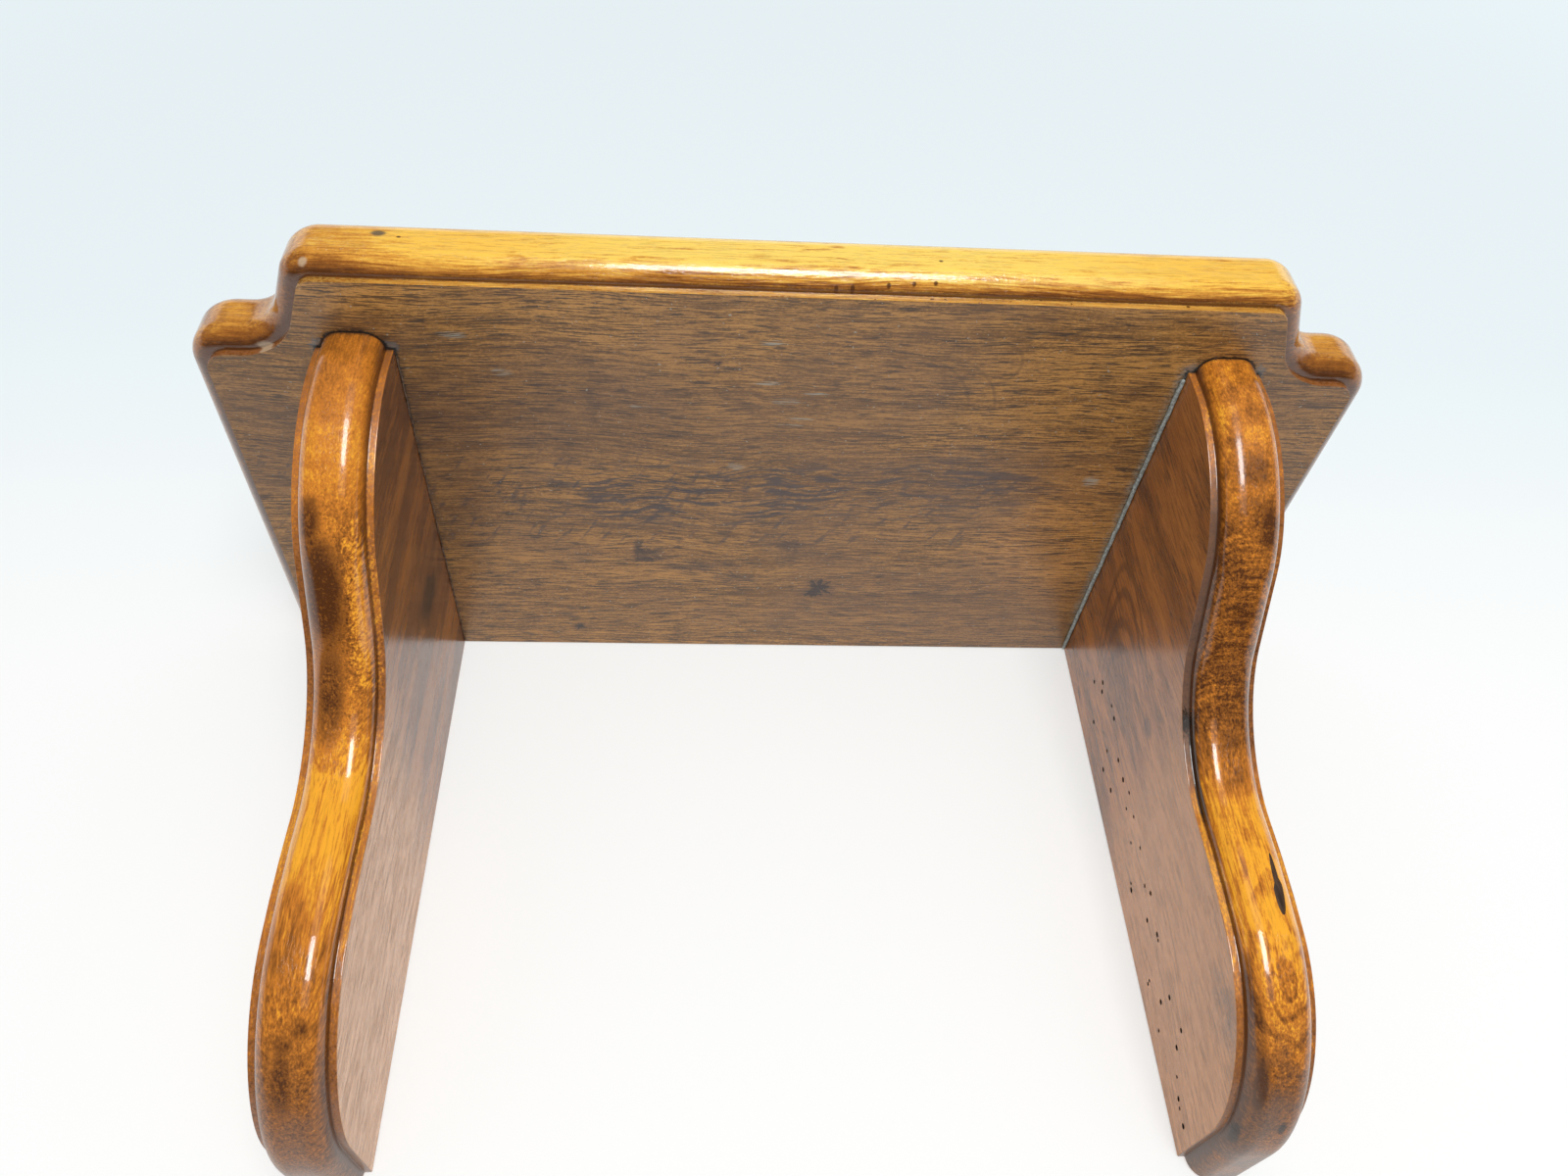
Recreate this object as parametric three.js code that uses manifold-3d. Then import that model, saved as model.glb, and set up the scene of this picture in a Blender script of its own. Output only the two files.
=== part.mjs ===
// A small wall shelf: a moulded walnut board on two scrolled side brackets.
// Millimetres. +Z is up and +Y points into the wall; the front faces -Y, and left is -X.
// The origin is the middle of the board's back edge, which lies on the wall.

import * as THREE from 'three';
import { mergeVertices } from 'three/addons/utils/BufferGeometryUtils.js';
import Module from 'manifold-3d';

const wasm = await Module();
wasm.setup();

// Stock and the moulding cut along its edges
const boardThickness = 20.5;
const bracketThickness = 19.2;
const mouldingStep = 1.9;
const mouldingRadius = 5.2;

// Board, with an ear at each end that stands back from the front
// The ears are measured to the sharp corners, and the radii of the outer corners at the moulding's step
const boardLength = 309;
const boardDepth = 156.7;
const earReach = 22;
const earSetback = 24.3;
const earFlare = 8.4;
const frontCornerRadius = 4;
const coveRadius = 10.4;
const earRadius = 6;

// Brackets, measured to the sharp corners of the front before it is rounded
const bracketInset = 33.7;
const bracketSetback = 13.2;
const bracketDrop = 160.3;
const crestRadius = 49;
const waistRadius = 34.5;
const bellyRadius = 137;
const footRadius = 45;

// Tangent polygon of the bracket's front, as shares of its depth and drop
const topShares = [0.947, 0];
const crestShares = [1, 0.236];
const waistShares = [0.4735, 0.4412];
const bellyShares = [0.4885, 0.6747];
const footShares = [0.4373, 1];

// Dowels that join each bracket to the board
const dowelDiameter = 8;
const dowelLength = 30;
const dowelDepthInBoard = 11;
const dowelEndRoom = 1;
const dowelChamfer = 0.8;
const frontDowelShare = 0.75;
const rearDowelShare = 0.25;

// Keyhole hanger plates in the bracket backs: the lands are the metal left round and between the holes
const plateThickness = 2;
const plateCornerRadius = 3;
const plateDrop = 44;
const plateSideLand = 2.5;
const plateEndLand = 2;
const plateMiddleLand = 4;
const keyholeDiameter = 10;
const keyholeSlotWidth = 5.2;
const keyholeTravel = 11;
const pocketDepth = 8;
const pocketMargin = 0.6;

// Wood screws that hold the plates
const screwLength = 16;
const screwShankDiameter = 3;
const screwHeadDiameter = 6.6;
const screwHeadRim = 0.4;
const screwHeadHeight = 1.7;
const screwTipLength = 3;
const recessSpan = 3.4;
const recessWidth = 0.8;
const recessDepth = 1.1;
const pilotRoom = 1;

// Clearances, and how far a cutting tool runs past the face it enters
const glueClearance = 0.3;
const seatClearance = 0.3;
const overrun = 1;

// Two roundings that meet on one edge leave a little of it straight
const roundingShare = 0.98;

// Facets
const arcStep = THREE.MathUtils.degToRad(8);
const mouldingFacets = 5;
const roundFacets = 24;

const walnut = { color: 0x6d4426, roughness: 0.35, metalness: 0 };
const amberWalnut = { color: 0x9c5a20, roughness: 0.25, metalness: 0 };
const beech = { color: 0xc9a06c, roughness: 0.7, metalness: 0 };
const zincSteel = { color: 0xb9bcc0, roughness: 0.35, metalness: 1 };
const brassSteel = { color: 0xb89a5a, roughness: 0.35, metalness: 1 };

// Outlines: corners run anticlockwise, and each one's edge is the one that leaves it
function corner(u, v, radius = 0, moulded = false) {
  return { point: new THREE.Vector2(u, v), radius, moulded };
}

function edgeLine(corners, index, inset) {
  const start = corners[index];
  const end = corners[(index + 1) % corners.length];
  const direction = end.point.clone().sub(start.point).normalize();
  const inward = new THREE.Vector2(-direction.y, direction.x);
  const shift = start.moulded ? inset : 0;
  return { point: start.point.clone().addScaledVector(inward, shift), direction };
}

function meeting(first, second) {
  const across = first.direction.cross(second.direction);
  const along = second.point.clone().sub(first.point).cross(second.direction) / across;
  return first.point.clone().addScaledVector(first.direction, along);
}

function turnBetween(before, after) {
  return Math.atan2(before.direction.cross(after.direction), before.direction.dot(after.direction));
}

// The outline with each radius small enough for the edges on both sides of it
function fitted(corners) {
  const count = corners.length;
  const tangents = corners.map(({ radius }, index) => {
    const turn = turnBetween(edgeLine(corners, (index + count - 1) % count, 0), edgeLine(corners, index, 0));
    return radius * Math.tan(Math.abs(turn) / 2);
  });
  const rooms = corners.map(({ point }, index) => {
    const next = (index + 1) % count;
    return (roundingShare * point.distanceTo(corners[next].point)) / (tangents[index] + tangents[next]);
  });
  return corners.map((place, index) => {
    const room = Math.min(1, rooms[(index + count - 1) % count], rooms[index]);
    return { ...place, radius: place.radius * room };
  });
}

// A ring of points round the outline, its moulded edges drawn in by the inset
function ring(corners, inset) {
  const points = [];
  corners.forEach((place, index) => {
    const before = edgeLine(corners, (index + corners.length - 1) % corners.length, inset);
    const after = edgeLine(corners, index, inset);
    const apex = meeting(before, after);
    if (place.radius === 0) {
      points.push(apex);
      return;
    }
    const turn = turnBetween(before, after);
    const radius = place.radius - Math.sign(turn) * inset;
    const tangent = radius * Math.tan(Math.abs(turn) / 2);
    const start = apex.clone().addScaledVector(before.direction, -tangent);
    const side = new THREE.Vector2(-before.direction.y, before.direction.x).multiplyScalar(Math.sign(turn));
    const centre = start.clone().addScaledVector(side, radius);
    const steps = Math.ceil(Math.abs(turn) / arcStep);
    for (let step = 0; step <= steps; step += 1) {
      points.push(start.clone().rotateAround(centre, (turn * step) / steps));
    }
  });
  return points;
}

// The moulding's section: a square step, then a quarter round, on both faces of the stock
function mouldingLevels(thickness) {
  const half = thickness / 2;
  const levels = [{ height: -half, inset: mouldingRadius }];
  for (let facet = 0; facet <= mouldingFacets; facet += 1) {
    const angle = (Math.PI / 2) * (facet / mouldingFacets);
    levels.push({
      height: -half + mouldingStep + mouldingRadius * (1 - Math.cos(angle)),
      inset: mouldingRadius * (1 - Math.sin(angle)),
    });
  }
  const upper = levels.map(({ height, inset }) => ({ height: -height, inset })).reverse();
  return levels.concat(upper);
}

// A slab of stock with its moulded edges, its thickness along z
function mouldedSlab(corners, thickness) {
  const outline = fitted(corners);
  const levels = mouldingLevels(thickness);
  const rings = levels.map(({ height, inset }) => ({ height, points: ring(outline, inset) }));
  const count = rings[0].points.length;
  const positions = [];
  const faces = [];
  rings.forEach(({ height, points }) => points.forEach((p) => positions.push(p.x, p.y, height)));
  for (let level = 0; level < rings.length - 1; level += 1) {
    for (let index = 0; index < count; index += 1) {
      const next = (index + 1) % count;
      const low = level * count;
      const high = low + count;
      faces.push(low + index, low + next, high + next, low + index, high + next, high + index);
    }
  }
  const top = (rings.length - 1) * count;
  THREE.ShapeUtils.triangulateShape(rings[0].points, []).forEach(([a, b, c]) => {
    faces.push(a, c, b);
    faces.push(top + a, top + b, top + c);
  });
  const geometry = new THREE.BufferGeometry();
  geometry.setAttribute('position', new THREE.Float32BufferAttribute(positions, 3));
  geometry.setIndex(faces);
  return geometry;
}

// Solids for cutting
function solidOf(geometry) {
  const bare = geometry.clone();
  bare.deleteAttribute('normal');
  bare.deleteAttribute('uv');
  const merged = mergeVertices(bare);
  return new wasm.Manifold(new wasm.Mesh({
    numProp: 3,
    vertProperties: new Float32Array(merged.attributes.position.array),
    triVerts: new Uint32Array(merged.index.array),
  }));
}

function geometryOf(solid) {
  const { vertProperties, triVerts } = solid.getMesh();
  const geometry = new THREE.BufferGeometry();
  geometry.setAttribute('position', new THREE.Float32BufferAttribute(vertProperties, 3));
  geometry.setIndex(Array.from(triVerts));
  return geometry;
}

function cut(geometry, tools) {
  const left = tools.reduce((solid, tool) => solid.subtract(solidOf(tool)), solidOf(geometry));
  return geometryOf(left);
}

// A round bar or hole along z, from low to high
function upright(radius, low, high) {
  const bar = new THREE.CylinderGeometry(radius, radius, high - low, roundFacets);
  return bar.rotateX(Math.PI / 2).translate(0, 0, (low + high) / 2);
}

// An outline in x and z, drawn out from the back face towards the front
function inBack(shape, frontY, backY) {
  const block = new THREE.ExtrudeGeometry(shape, {
    depth: backY - frontY,
    bevelEnabled: false,
    curveSegments: roundFacets / 2,
  });
  return block.rotateX(Math.PI / 2).translate(0, backY, 0);
}

// A rectangle about the origin with rounded corners
function roundedRectangle(width, height, radius) {
  const [x, y] = [width / 2, height / 2];
  const shape = new THREE.Shape();
  shape.absarc(x - radius, y - radius, radius, 0, Math.PI / 2);
  shape.absarc(-x + radius, y - radius, radius, Math.PI / 2, Math.PI);
  shape.absarc(-x + radius, -y + radius, radius, Math.PI, 1.5 * Math.PI);
  shape.absarc(x - radius, -y + radius, radius, 1.5 * Math.PI, 2 * Math.PI);
  return shape;
}

// The keyhole: a round mouth below and a narrow slot that rises from it
function keyholeShape() {
  const mouthRadius = keyholeDiameter / 2;
  const slotRadius = keyholeSlotWidth / 2;
  const shoulder = Math.acos(slotRadius / mouthRadius);
  const shape = new THREE.Shape();
  shape.absarc(0, keyholeTravel / 2, slotRadius, 0, Math.PI);
  shape.absarc(0, -keyholeTravel / 2, mouthRadius, Math.PI - shoulder, 2 * Math.PI + shoulder);
  return shape;
}

// The pocket behind it, wide enough for the wall screw's head all the way up
function pocketShape() {
  const radius = keyholeDiameter / 2 + pocketMargin;
  const shape = new THREE.Shape();
  shape.absarc(0, keyholeTravel / 2, radius, 0, Math.PI);
  shape.absarc(0, -keyholeTravel / 2, radius, Math.PI, 2 * Math.PI);
  return shape;
}

// Board
function boardCorners() {
  const end = boardLength / 2;
  const cove = end - earReach;
  const front = cove - earFlare;
  const shoulder = -boardDepth + earSetback;
  return [
    corner(-cove, shoulder, coveRadius, true),
    corner(-front, -boardDepth, frontCornerRadius + mouldingRadius, true),
    corner(front, -boardDepth, frontCornerRadius + mouldingRadius, true),
    corner(cove, shoulder, coveRadius, true),
    corner(end, shoulder, earRadius + mouldingRadius, true),
    corner(end, 0),
    corner(-end, 0, 0, true),
    corner(-end, shoulder, earRadius + mouldingRadius, true),
  ];
}

const underside = -boardThickness / 2;
const bracketDepth = boardDepth - bracketSetback;
const bracketOffset = (boardLength - bracketThickness) / 2 - bracketInset;
const bracketSides = { left: -bracketOffset, right: bracketOffset };
const jointLength = bracketDepth * topShares[0];
const dowelPlaces = [
  { place: 'front', setback: jointLength * frontDowelShare },
  { place: 'rear', setback: jointLength * rearDowelShare },
];
const dowelHoleRadius = dowelDiameter / 2 + glueClearance;
const dowelFoot = underside + dowelDepthInBoard - dowelEndRoom - dowelLength;

function boardGeometry() {
  const holes = [];
  Object.values(bracketSides).forEach((x) => {
    dowelPlaces.forEach(({ setback }) => {
      const hole = upright(dowelHoleRadius, underside - overrun, underside + dowelDepthInBoard);
      holes.push(hole.translate(x, -setback, 0));
    });
  });
  return cut(mouldedSlab(boardCorners(), boardThickness), holes);
}

// Bracket, in its own frame: x across its thickness, y and z as in the whole shelf
function bracketCorners() {
  const place = ([depthShare, dropShare], radius) => (
    corner(-bracketDepth * depthShare, underside - bracketDrop * dropShare, radius, true)
  );
  return [
    place(topShares, 0),
    place(crestShares, crestRadius),
    place(waistShares, waistRadius),
    place(bellyShares, bellyRadius),
    place(footShares, footRadius),
    corner(0, underside - bracketDrop),
    corner(0, underside),
  ];
}

const plateCentre = underside - plateDrop;
const screwRise = (keyholeTravel + keyholeDiameter + screwHeadDiameter) / 2 + plateMiddleLand;
const plateWidth = keyholeDiameter + 2 * plateSideLand;
const plateHeight = 2 * screwRise + screwHeadDiameter + 2 * plateEndLand;
const screwHeights = { upper: plateCentre + screwRise, lower: plateCentre - screwRise };
const pilotRadius = screwShankDiameter / 2 + seatClearance;

function bracketGeometry() {
  const toShelf = new THREE.Matrix4().makeBasis(
    new THREE.Vector3(0, 1, 0),
    new THREE.Vector3(0, 0, 1),
    new THREE.Vector3(1, 0, 0),
  );
  const slab = mouldedSlab(bracketCorners(), bracketThickness).applyMatrix4(toShelf);
  const dowelHoles = dowelPlaces.map(({ setback }) => (
    upright(dowelHoleRadius, dowelFoot, underside + overrun).translate(0, -setback, 0)
  ));
  const mortiseShape = roundedRectangle(
    plateWidth + 2 * seatClearance,
    plateHeight + 2 * seatClearance,
    plateCornerRadius + seatClearance,
  );
  const mortise = inBack(mortiseShape, -plateThickness, overrun).translate(0, 0, plateCentre);
  const pocket = inBack(pocketShape(), -plateThickness - pocketDepth, 0).translate(0, 0, plateCentre);
  const pilots = Object.values(screwHeights).map((z) => (
    upright(pilotRadius, 0, screwLength + pilotRoom).rotateX(Math.PI / 2).translate(0, 0, z)
  ));
  return cut(slab, [...dowelHoles, mortise, pocket, ...pilots]);
}

// Dowel: a plain pin with a chamfer at both ends, its foot on the bottom of the bracket's hole
function dowelGeometry() {
  const radius = dowelDiameter / 2;
  const profile = [
    [0, 0],
    [radius - dowelChamfer, 0],
    [radius, dowelChamfer],
    [radius, dowelLength - dowelChamfer],
    [radius - dowelChamfer, dowelLength],
    [0, dowelLength],
  ].map(([x, y]) => new THREE.Vector2(x, y));
  return new THREE.LatheGeometry(profile, roundFacets).rotateX(Math.PI / 2).translate(0, 0, dowelFoot);
}

// Countersunk head, from the plate's outer face inwards; room widens it to make the seat
function headProfile(room) {
  const rim = screwHeadDiameter / 2 + room;
  const shank = screwShankDiameter / 2 + room;
  return { rim, shank };
}

function screwGeometry() {
  const { rim, shank } = headProfile(0);
  const profile = [
    [0, -screwLength],
    [shank, -screwLength + screwTipLength],
    [shank, -screwHeadHeight],
    [rim, -screwHeadRim],
    [rim, 0],
    [0, 0],
  ].map(([x, y]) => new THREE.Vector2(x, y));
  const body = new THREE.LatheGeometry(profile, roundFacets);
  const blades = [[recessSpan, recessWidth], [recessWidth, recessSpan]].map(([width, depth]) => (
    new THREE.BoxGeometry(width, 2 * recessDepth, depth)
  ));
  return cut(body, blades);
}

// A countersunk hole through the plate, in the screw's own frame
function countersink() {
  const { rim, shank } = headProfile(seatClearance);
  const profile = [
    [0, -plateThickness - overrun],
    [shank, -plateThickness - overrun],
    [shank, -screwHeadHeight],
    [rim, -screwHeadRim],
    [rim, overrun],
    [0, overrun],
  ].map(([x, y]) => new THREE.Vector2(x, y));
  return new THREE.LatheGeometry(profile, roundFacets);
}

// Hanger plate: its outer face is flush with the bracket's back edge
function plateGeometry() {
  const blank = inBack(roundedRectangle(plateWidth, plateHeight, plateCornerRadius), -plateThickness, 0);
  const keyhole = inBack(keyholeShape(), -plateThickness - overrun, overrun);
  const seats = Object.values(screwHeights).map((z) => countersink().translate(0, 0, z - plateCentre));
  return cut(blank, [keyhole, ...seats]);
}

function node(name, geometry, finish, x = 0, y = 0, z = 0) {
  const mesh = new THREE.Mesh(geometry, new THREE.MeshStandardMaterial({ ...finish, flatShading: true }));
  mesh.name = name;
  mesh.position.set(x, y, z);
  return mesh;
}

// Everything that one bracket carries, placed in the bracket's own frame
function bracketAssembly(side) {
  const assembly = new THREE.Group();
  assembly.position.x = bracketSides[side];
  assembly.add(node(`${side}_bracket`, bracketGeometry(), amberWalnut));
  dowelPlaces.forEach(({ place, setback }) => {
    assembly.add(node(`${side}_${place}_dowel`, dowelGeometry(), beech, 0, -setback));
  });
  assembly.add(node(`${side}_hanger_plate`, plateGeometry(), zincSteel, 0, 0, plateCentre));
  Object.entries(screwHeights).forEach(([place, z]) => {
    assembly.add(node(`${side}_${place}_screw`, screwGeometry(), brassSteel, 0, 0, z));
  });
  return assembly;
}

const group = new THREE.Group();
group.add(node('shelf_board', boardGeometry(), walnut));
group.add(bracketAssembly('left'));
group.add(bracketAssembly('right'));

export default group;
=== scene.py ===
import math
import random
from functools import reduce

import bmesh
import bpy
from bpy.props import FloatProperty, FloatVectorProperty, IntProperty, PointerProperty
from mathutils import Euler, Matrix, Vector


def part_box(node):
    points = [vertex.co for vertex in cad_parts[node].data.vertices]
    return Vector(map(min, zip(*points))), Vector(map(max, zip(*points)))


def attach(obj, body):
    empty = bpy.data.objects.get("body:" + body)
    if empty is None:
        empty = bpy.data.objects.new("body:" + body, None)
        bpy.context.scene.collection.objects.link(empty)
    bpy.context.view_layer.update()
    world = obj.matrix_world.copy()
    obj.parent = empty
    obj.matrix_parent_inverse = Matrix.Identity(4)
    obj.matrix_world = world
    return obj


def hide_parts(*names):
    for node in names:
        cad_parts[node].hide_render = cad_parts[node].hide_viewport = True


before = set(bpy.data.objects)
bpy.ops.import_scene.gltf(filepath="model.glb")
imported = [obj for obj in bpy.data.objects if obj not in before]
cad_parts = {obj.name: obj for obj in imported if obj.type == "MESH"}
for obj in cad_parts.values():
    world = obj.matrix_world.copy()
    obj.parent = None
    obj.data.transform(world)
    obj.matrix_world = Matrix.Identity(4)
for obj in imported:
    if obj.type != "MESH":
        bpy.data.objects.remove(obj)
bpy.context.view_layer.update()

bl_info = {
    "name": "Wall Shelf",
    "version": (1, 0, 0),
    "blender": (4, 5, 0),
    "location": "View3D > Sidebar > Wall Shelf",
    "description": "Models a small walnut wall shelf with moulded edges and scrolled brackets",
    "category": "Add Mesh",
}

BODY = "root"
MM = 0.001
TOUCH = 0.02 * MM
SIDES = ("left", "right")
AXES = (Vector((1, 0, 0)), Vector((0, 1, 0)), Vector((0, 0, 1)))
X, Y, Z = 0, 1, 2
BOARD_LOW, BOARD_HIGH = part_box("shelf_board")
UNDERSIDE = BOARD_LOW.z
RIGHT_LOW, RIGHT_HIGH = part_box("right_bracket")
# The right bracket's middle and half its thickness, in millimetres
BRACKET_MIDDLE = (RIGHT_LOW.x + RIGHT_HIGH.x) / 2 / MM
BRACKET_HALF = (RIGHT_HIGH.x - RIGHT_LOW.x) / 2 / MM
# Least cosine between a face and an axis that it is square to
SQUARE = 0.99
# Degrees that each facet of a rounded corner may turn, and least facets in one
FACET_TURN = 4
LEAST_FACETS = 2
# Share of an edge that the roundings at its two ends may take up
ROUNDING_ROOM = 0.98
# Degrees below which two faces count as lying in one plane
FLAT_TURN = 0.3
# Share of a mark's reach within which it is whole
WHOLE_SHARE = 0.45


# Settings

def length(name, description, default):
    """A length that the user can change, given in millimetres"""
    return FloatProperty(name=name, description=description, default=default * MM, unit="LENGTH",
                         precision=4)


def colour(name, description, default):
    """A colour that the user can change"""
    return FloatVectorProperty(name=name, description=description, default=default, size=3,
                               subtype="COLOR", min=0, max=1)


class MouldingSizes(bpy.types.PropertyGroup):
    step: length("Step", "Height of the square step under each face", 1.9)
    radius: length("Quarter Round", "Radius of the round below the step", 5.2)
    arris: length("Arris", "Width worn off each sharp edge", 0.3)
    facets: IntProperty(name="Facets", description="Faces in each quarter round", default=9, min=2)


class BoardSizes(bpy.types.PropertyGroup):
    ear_reach: length("Ear Reach", "How far each ear stands out past the cove", 22)
    ear_setback: length("Ear Setback", "How far each ear stands back from the front", 24.3)
    ear_flare: length("Ear Flare", "How far the front corner leans in from the cove", 8.4)
    front_radius: length("Front Corner", "Radius of the front corners", 9.2)
    cove_radius: length("Cove", "Radius of the hollow between the front and the ear", 10.4)
    ear_radius: length("Ear Corner", "Radius of the ears' corners", 11.2)


class BracketSizes(bpy.types.PropertyGroup):
    top_depth: length("Top Depth", "Depth of the bracket where it meets the board", 135.9)
    crest_drop: length("Crest Drop", "Drop to the crest's tangents' meeting", 37.8)
    waist_drop: length("Waist Drop", "Drop to the waist's tangents' meeting", 70.7)
    belly_drop: length("Belly Drop", "Drop to the belly's tangents' meeting", 108.2)
    waist_depth: length("Waist Depth", "Depth where the waist's tangents meet", 67.9)
    belly_depth: length("Belly Depth", "Depth where the belly's tangents meet", 70.1)
    foot_depth: length("Foot Depth", "Depth where the foot's tangents meet", 62.8)
    crest_radius: length("Crest", "Radius of the forward curve at the top", 49)
    waist_radius: length("Waist", "Radius of the hollow curve", 34.5)
    belly_radius: length("Belly", "Radius of the long curve below the waist", 137)
    foot_radius: length("Foot", "Radius of the curve at the bottom", 45)


class HardwareSizes(bpy.types.PropertyGroup):
    room: length("Room", "Clearance round a dowel, a plate or a screw", 0.3)
    plate_corner: length("Plate Corner", "Radius of the hanger plates' corners", 3)
    mouth: length("Keyhole Mouth", "Diameter of the keyhole's mouth", 10)
    slot: length("Keyhole Slot", "Width of the keyhole's slot", 5.2)
    travel: length("Keyhole Travel", "Rise from the mouth's centre to the slot's top centre", 11)
    pocket_depth: length("Pocket Depth", "Room behind the plate for the wall screw's head", 8)
    pocket_margin: length("Pocket Margin", "Room round the wall screw's head", 0.6)
    shank: length("Shank", "Diameter of the screws' shanks", 3)
    rim: length("Head Rim", "Height of the rim on the screws' heads", 0.4)
    head_height: length("Head Height", "Height of the countersunk heads", 1.7)
    tip: length("Tip", "Length of the screws' tips", 3)
    recess_span: length("Recess Span", "Span of the cross recess", 3.4)
    recess_width: length("Recess Width", "Width of each arm of the cross recess", 0.8)
    recess_depth: length("Recess Depth", "Depth of the cross recess", 1.1)


class ShelfFinish(bpy.types.PropertyGroup):
    pale_walnut: colour("Pale Walnut", "Early growth on the board's faces", (0.48, 0.236, 0.06))
    dark_walnut: colour("Dark Walnut", "Late growth on the board's faces", (0.168, 0.078, 0.022))
    red_walnut: colour("Red Walnut", "Early growth on the brackets' faces", (0.46, 0.168, 0.036))
    dark_red_walnut: colour("Dark Red Walnut", "Late growth on the brackets' faces", (0.29, 0.098, 0.024))
    board_amber: colour("Board Amber", "Varnish on the board's pale moulding", (0.93, 0.55, 0.08))
    board_orange: colour("Board Orange", "Varnish on the board's deeper moulding", (0.66, 0.29, 0.04))
    bracket_amber: colour("Bracket Amber", "Varnish on the brackets' pale moulding", (0.92, 0.41, 0.03))
    bracket_orange: colour("Bracket Orange", "Varnish on the brackets' deeper moulding", (0.60, 0.20, 0.022))
    russet: colour("Russet", "Varnish where the moulding is mid brown", (0.30, 0.10, 0.013))
    # Umber is also laid as a painted shade in the crease beside the step
    umber_and_shade: colour("Umber", "Varnish over the darkest figure", (0.085, 0.026, 0.005))
    copper: colour("Copper", "Varnish on the square step beside the moulding", (0.38, 0.15, 0.06))
    # Grime is also laid as a painted shade round the brackets' tops on the board's underside
    grime_and_shade: colour("Grime", "Dirt in corners, creases and pores", (0.035, 0.024, 0.018))
    dust: colour("Dust", "Pale dust and scuffs", (0.33, 0.33, 0.28))


class StageSettings(bpy.types.PropertyGroup):
    key_power: FloatProperty(name="Key Power", description="Power of the main lamp", default=9, unit="POWER")
    key_size: length("Key Size", "Width of the main lamp", 420)
    sky: FloatProperty(name="Sky", description="Strength of the even light", default=0.45, min=0)
    room: FloatProperty(name="Room", description="How bright the room in front looks in the gloss",
                        default=0.12, min=0, max=1)
    wall: colour("Wall", "The plain pale wall", (0.935, 0.955, 0.955))


class ShelfSettings(bpy.types.PropertyGroup):
    moulding: PointerProperty(type=MouldingSizes)
    board: PointerProperty(type=BoardSizes)
    bracket: PointerProperty(type=BracketSizes)
    hardware: PointerProperty(type=HardwareSizes)
    finish: PointerProperty(type=ShelfFinish)
    stage: PointerProperty(type=StageSettings)


def settings_of(context):
    return context.scene.wall_shelf


# Modelling by hand: one piece is open for editing at a time

def deselect():
    bpy.ops.object.select_all(action="DESELECT")


def select_only(piece):
    deselect()
    piece.select_set(True)
    bpy.context.view_layer.objects.active = piece


def adopt(name):
    """Names the object just added, and puts its place into its mesh so that it stays at the origin"""
    piece = bpy.context.object
    piece.name = name
    select_only(piece)
    bpy.ops.object.transform_apply(location=True, rotation=True, scale=True)
    return piece


def block(name, low, high):
    """A block between two corners"""
    deselect()
    low, high = Vector(low), Vector(high)
    bpy.ops.mesh.primitive_cube_add(size=1, location=(low + high) / 2, scale=high - low)
    return adopt(name)


def bar(name, start, way, reach, radius, corners=32):
    """A round bar that runs a given way from its start"""
    deselect()
    turn = way.to_track_quat("Z", "Y").to_euler()
    bpy.ops.mesh.primitive_cylinder_add(vertices=corners, radius=radius, depth=reach,
                                        location=start + way * reach / 2, rotation=turn)
    return adopt(name)


def open_piece(piece):
    select_only(piece)
    bpy.ops.object.mode_set(mode="EDIT")


def close_piece():
    bpy.ops.object.mode_set(mode="OBJECT")


def select(piece, kind, test):
    """Selects the corners, edges or faces of the open piece that pass a test"""
    bpy.ops.mesh.select_mode(type=kind)
    bpy.ops.mesh.select_all(action="DESELECT")
    mesh = bmesh.from_edit_mesh(piece.data)
    parts = {"VERT": mesh.verts, "EDGE": mesh.edges, "FACE": mesh.faces}[kind]
    for part in parts:
        if test(part):
            part.select_set(True)
    bmesh.update_edit_mesh(piece.data)


def near(value, target):
    return abs(value - target) < TOUCH


def slice_through(point, normal):
    """Cuts the open piece's faces along a plane and keeps both halves"""
    bpy.ops.mesh.select_all(action="SELECT")
    bpy.ops.mesh.bisect(plane_co=point, plane_no=normal)


def round_edges(piece, test, offset, facets):
    select(piece, "EDGE", test)
    bpy.ops.mesh.bevel(offset_type="OFFSET", offset=offset, segments=facets, profile=0.5,
                       affect="EDGES", clamp_overlap=False)


def slide(piece, kind, test, shift):
    select(piece, kind, test)
    bpy.ops.transform.translate(value=shift)


def draw_out(piece, test, shift):
    """Extrudes the faces that pass a test"""
    select(piece, "FACE", test)
    bpy.ops.mesh.extrude_region_move(TRANSFORM_OT_translate={"value": shift})


def merge_flats():
    """Joins neighbouring faces that lie in one plane"""
    bpy.ops.mesh.select_all(action="SELECT")
    bpy.ops.mesh.dissolve_limited(angle_limit=math.radians(FLAT_TURN))


def turned(name, centre, profile, corners=40):
    """A solid turned about an axis along y: the profile lists radii and places along that axis"""
    (radius, place), *steps = profile
    deselect()
    bpy.ops.mesh.primitive_circle_add(vertices=corners, radius=radius, fill_type="NGON",
                                      location=(centre.x, place, centre.z), rotation=(math.pi / 2, 0, 0))
    piece = adopt(name)
    open_piece(piece)
    bpy.ops.mesh.select_all(action="SELECT")
    for next_radius, next_place in steps:
        shift = (0, next_place - place, 0)
        bpy.ops.mesh.extrude_region_move(TRANSFORM_OT_translate={"value": shift})
        share = next_radius / radius
        bpy.ops.transform.resize(value=(share, 1, share), center_override=(centre.x, next_place, centre.z))
        radius, place = next_radius, next_place
    bpy.ops.mesh.select_all(action="SELECT")
    bpy.ops.mesh.normals_make_consistent(inside=False)
    close_piece()
    return piece


def with_modifier(piece, kind, **settings):
    """Adds a modifier and applies it"""
    select_only(piece)
    bpy.ops.object.modifier_add(type=kind)
    modifier = piece.modifiers[-1]
    for key, value in settings.items():
        setattr(modifier, key, value)
    bpy.ops.object.modifier_apply(modifier=modifier.name)


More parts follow.
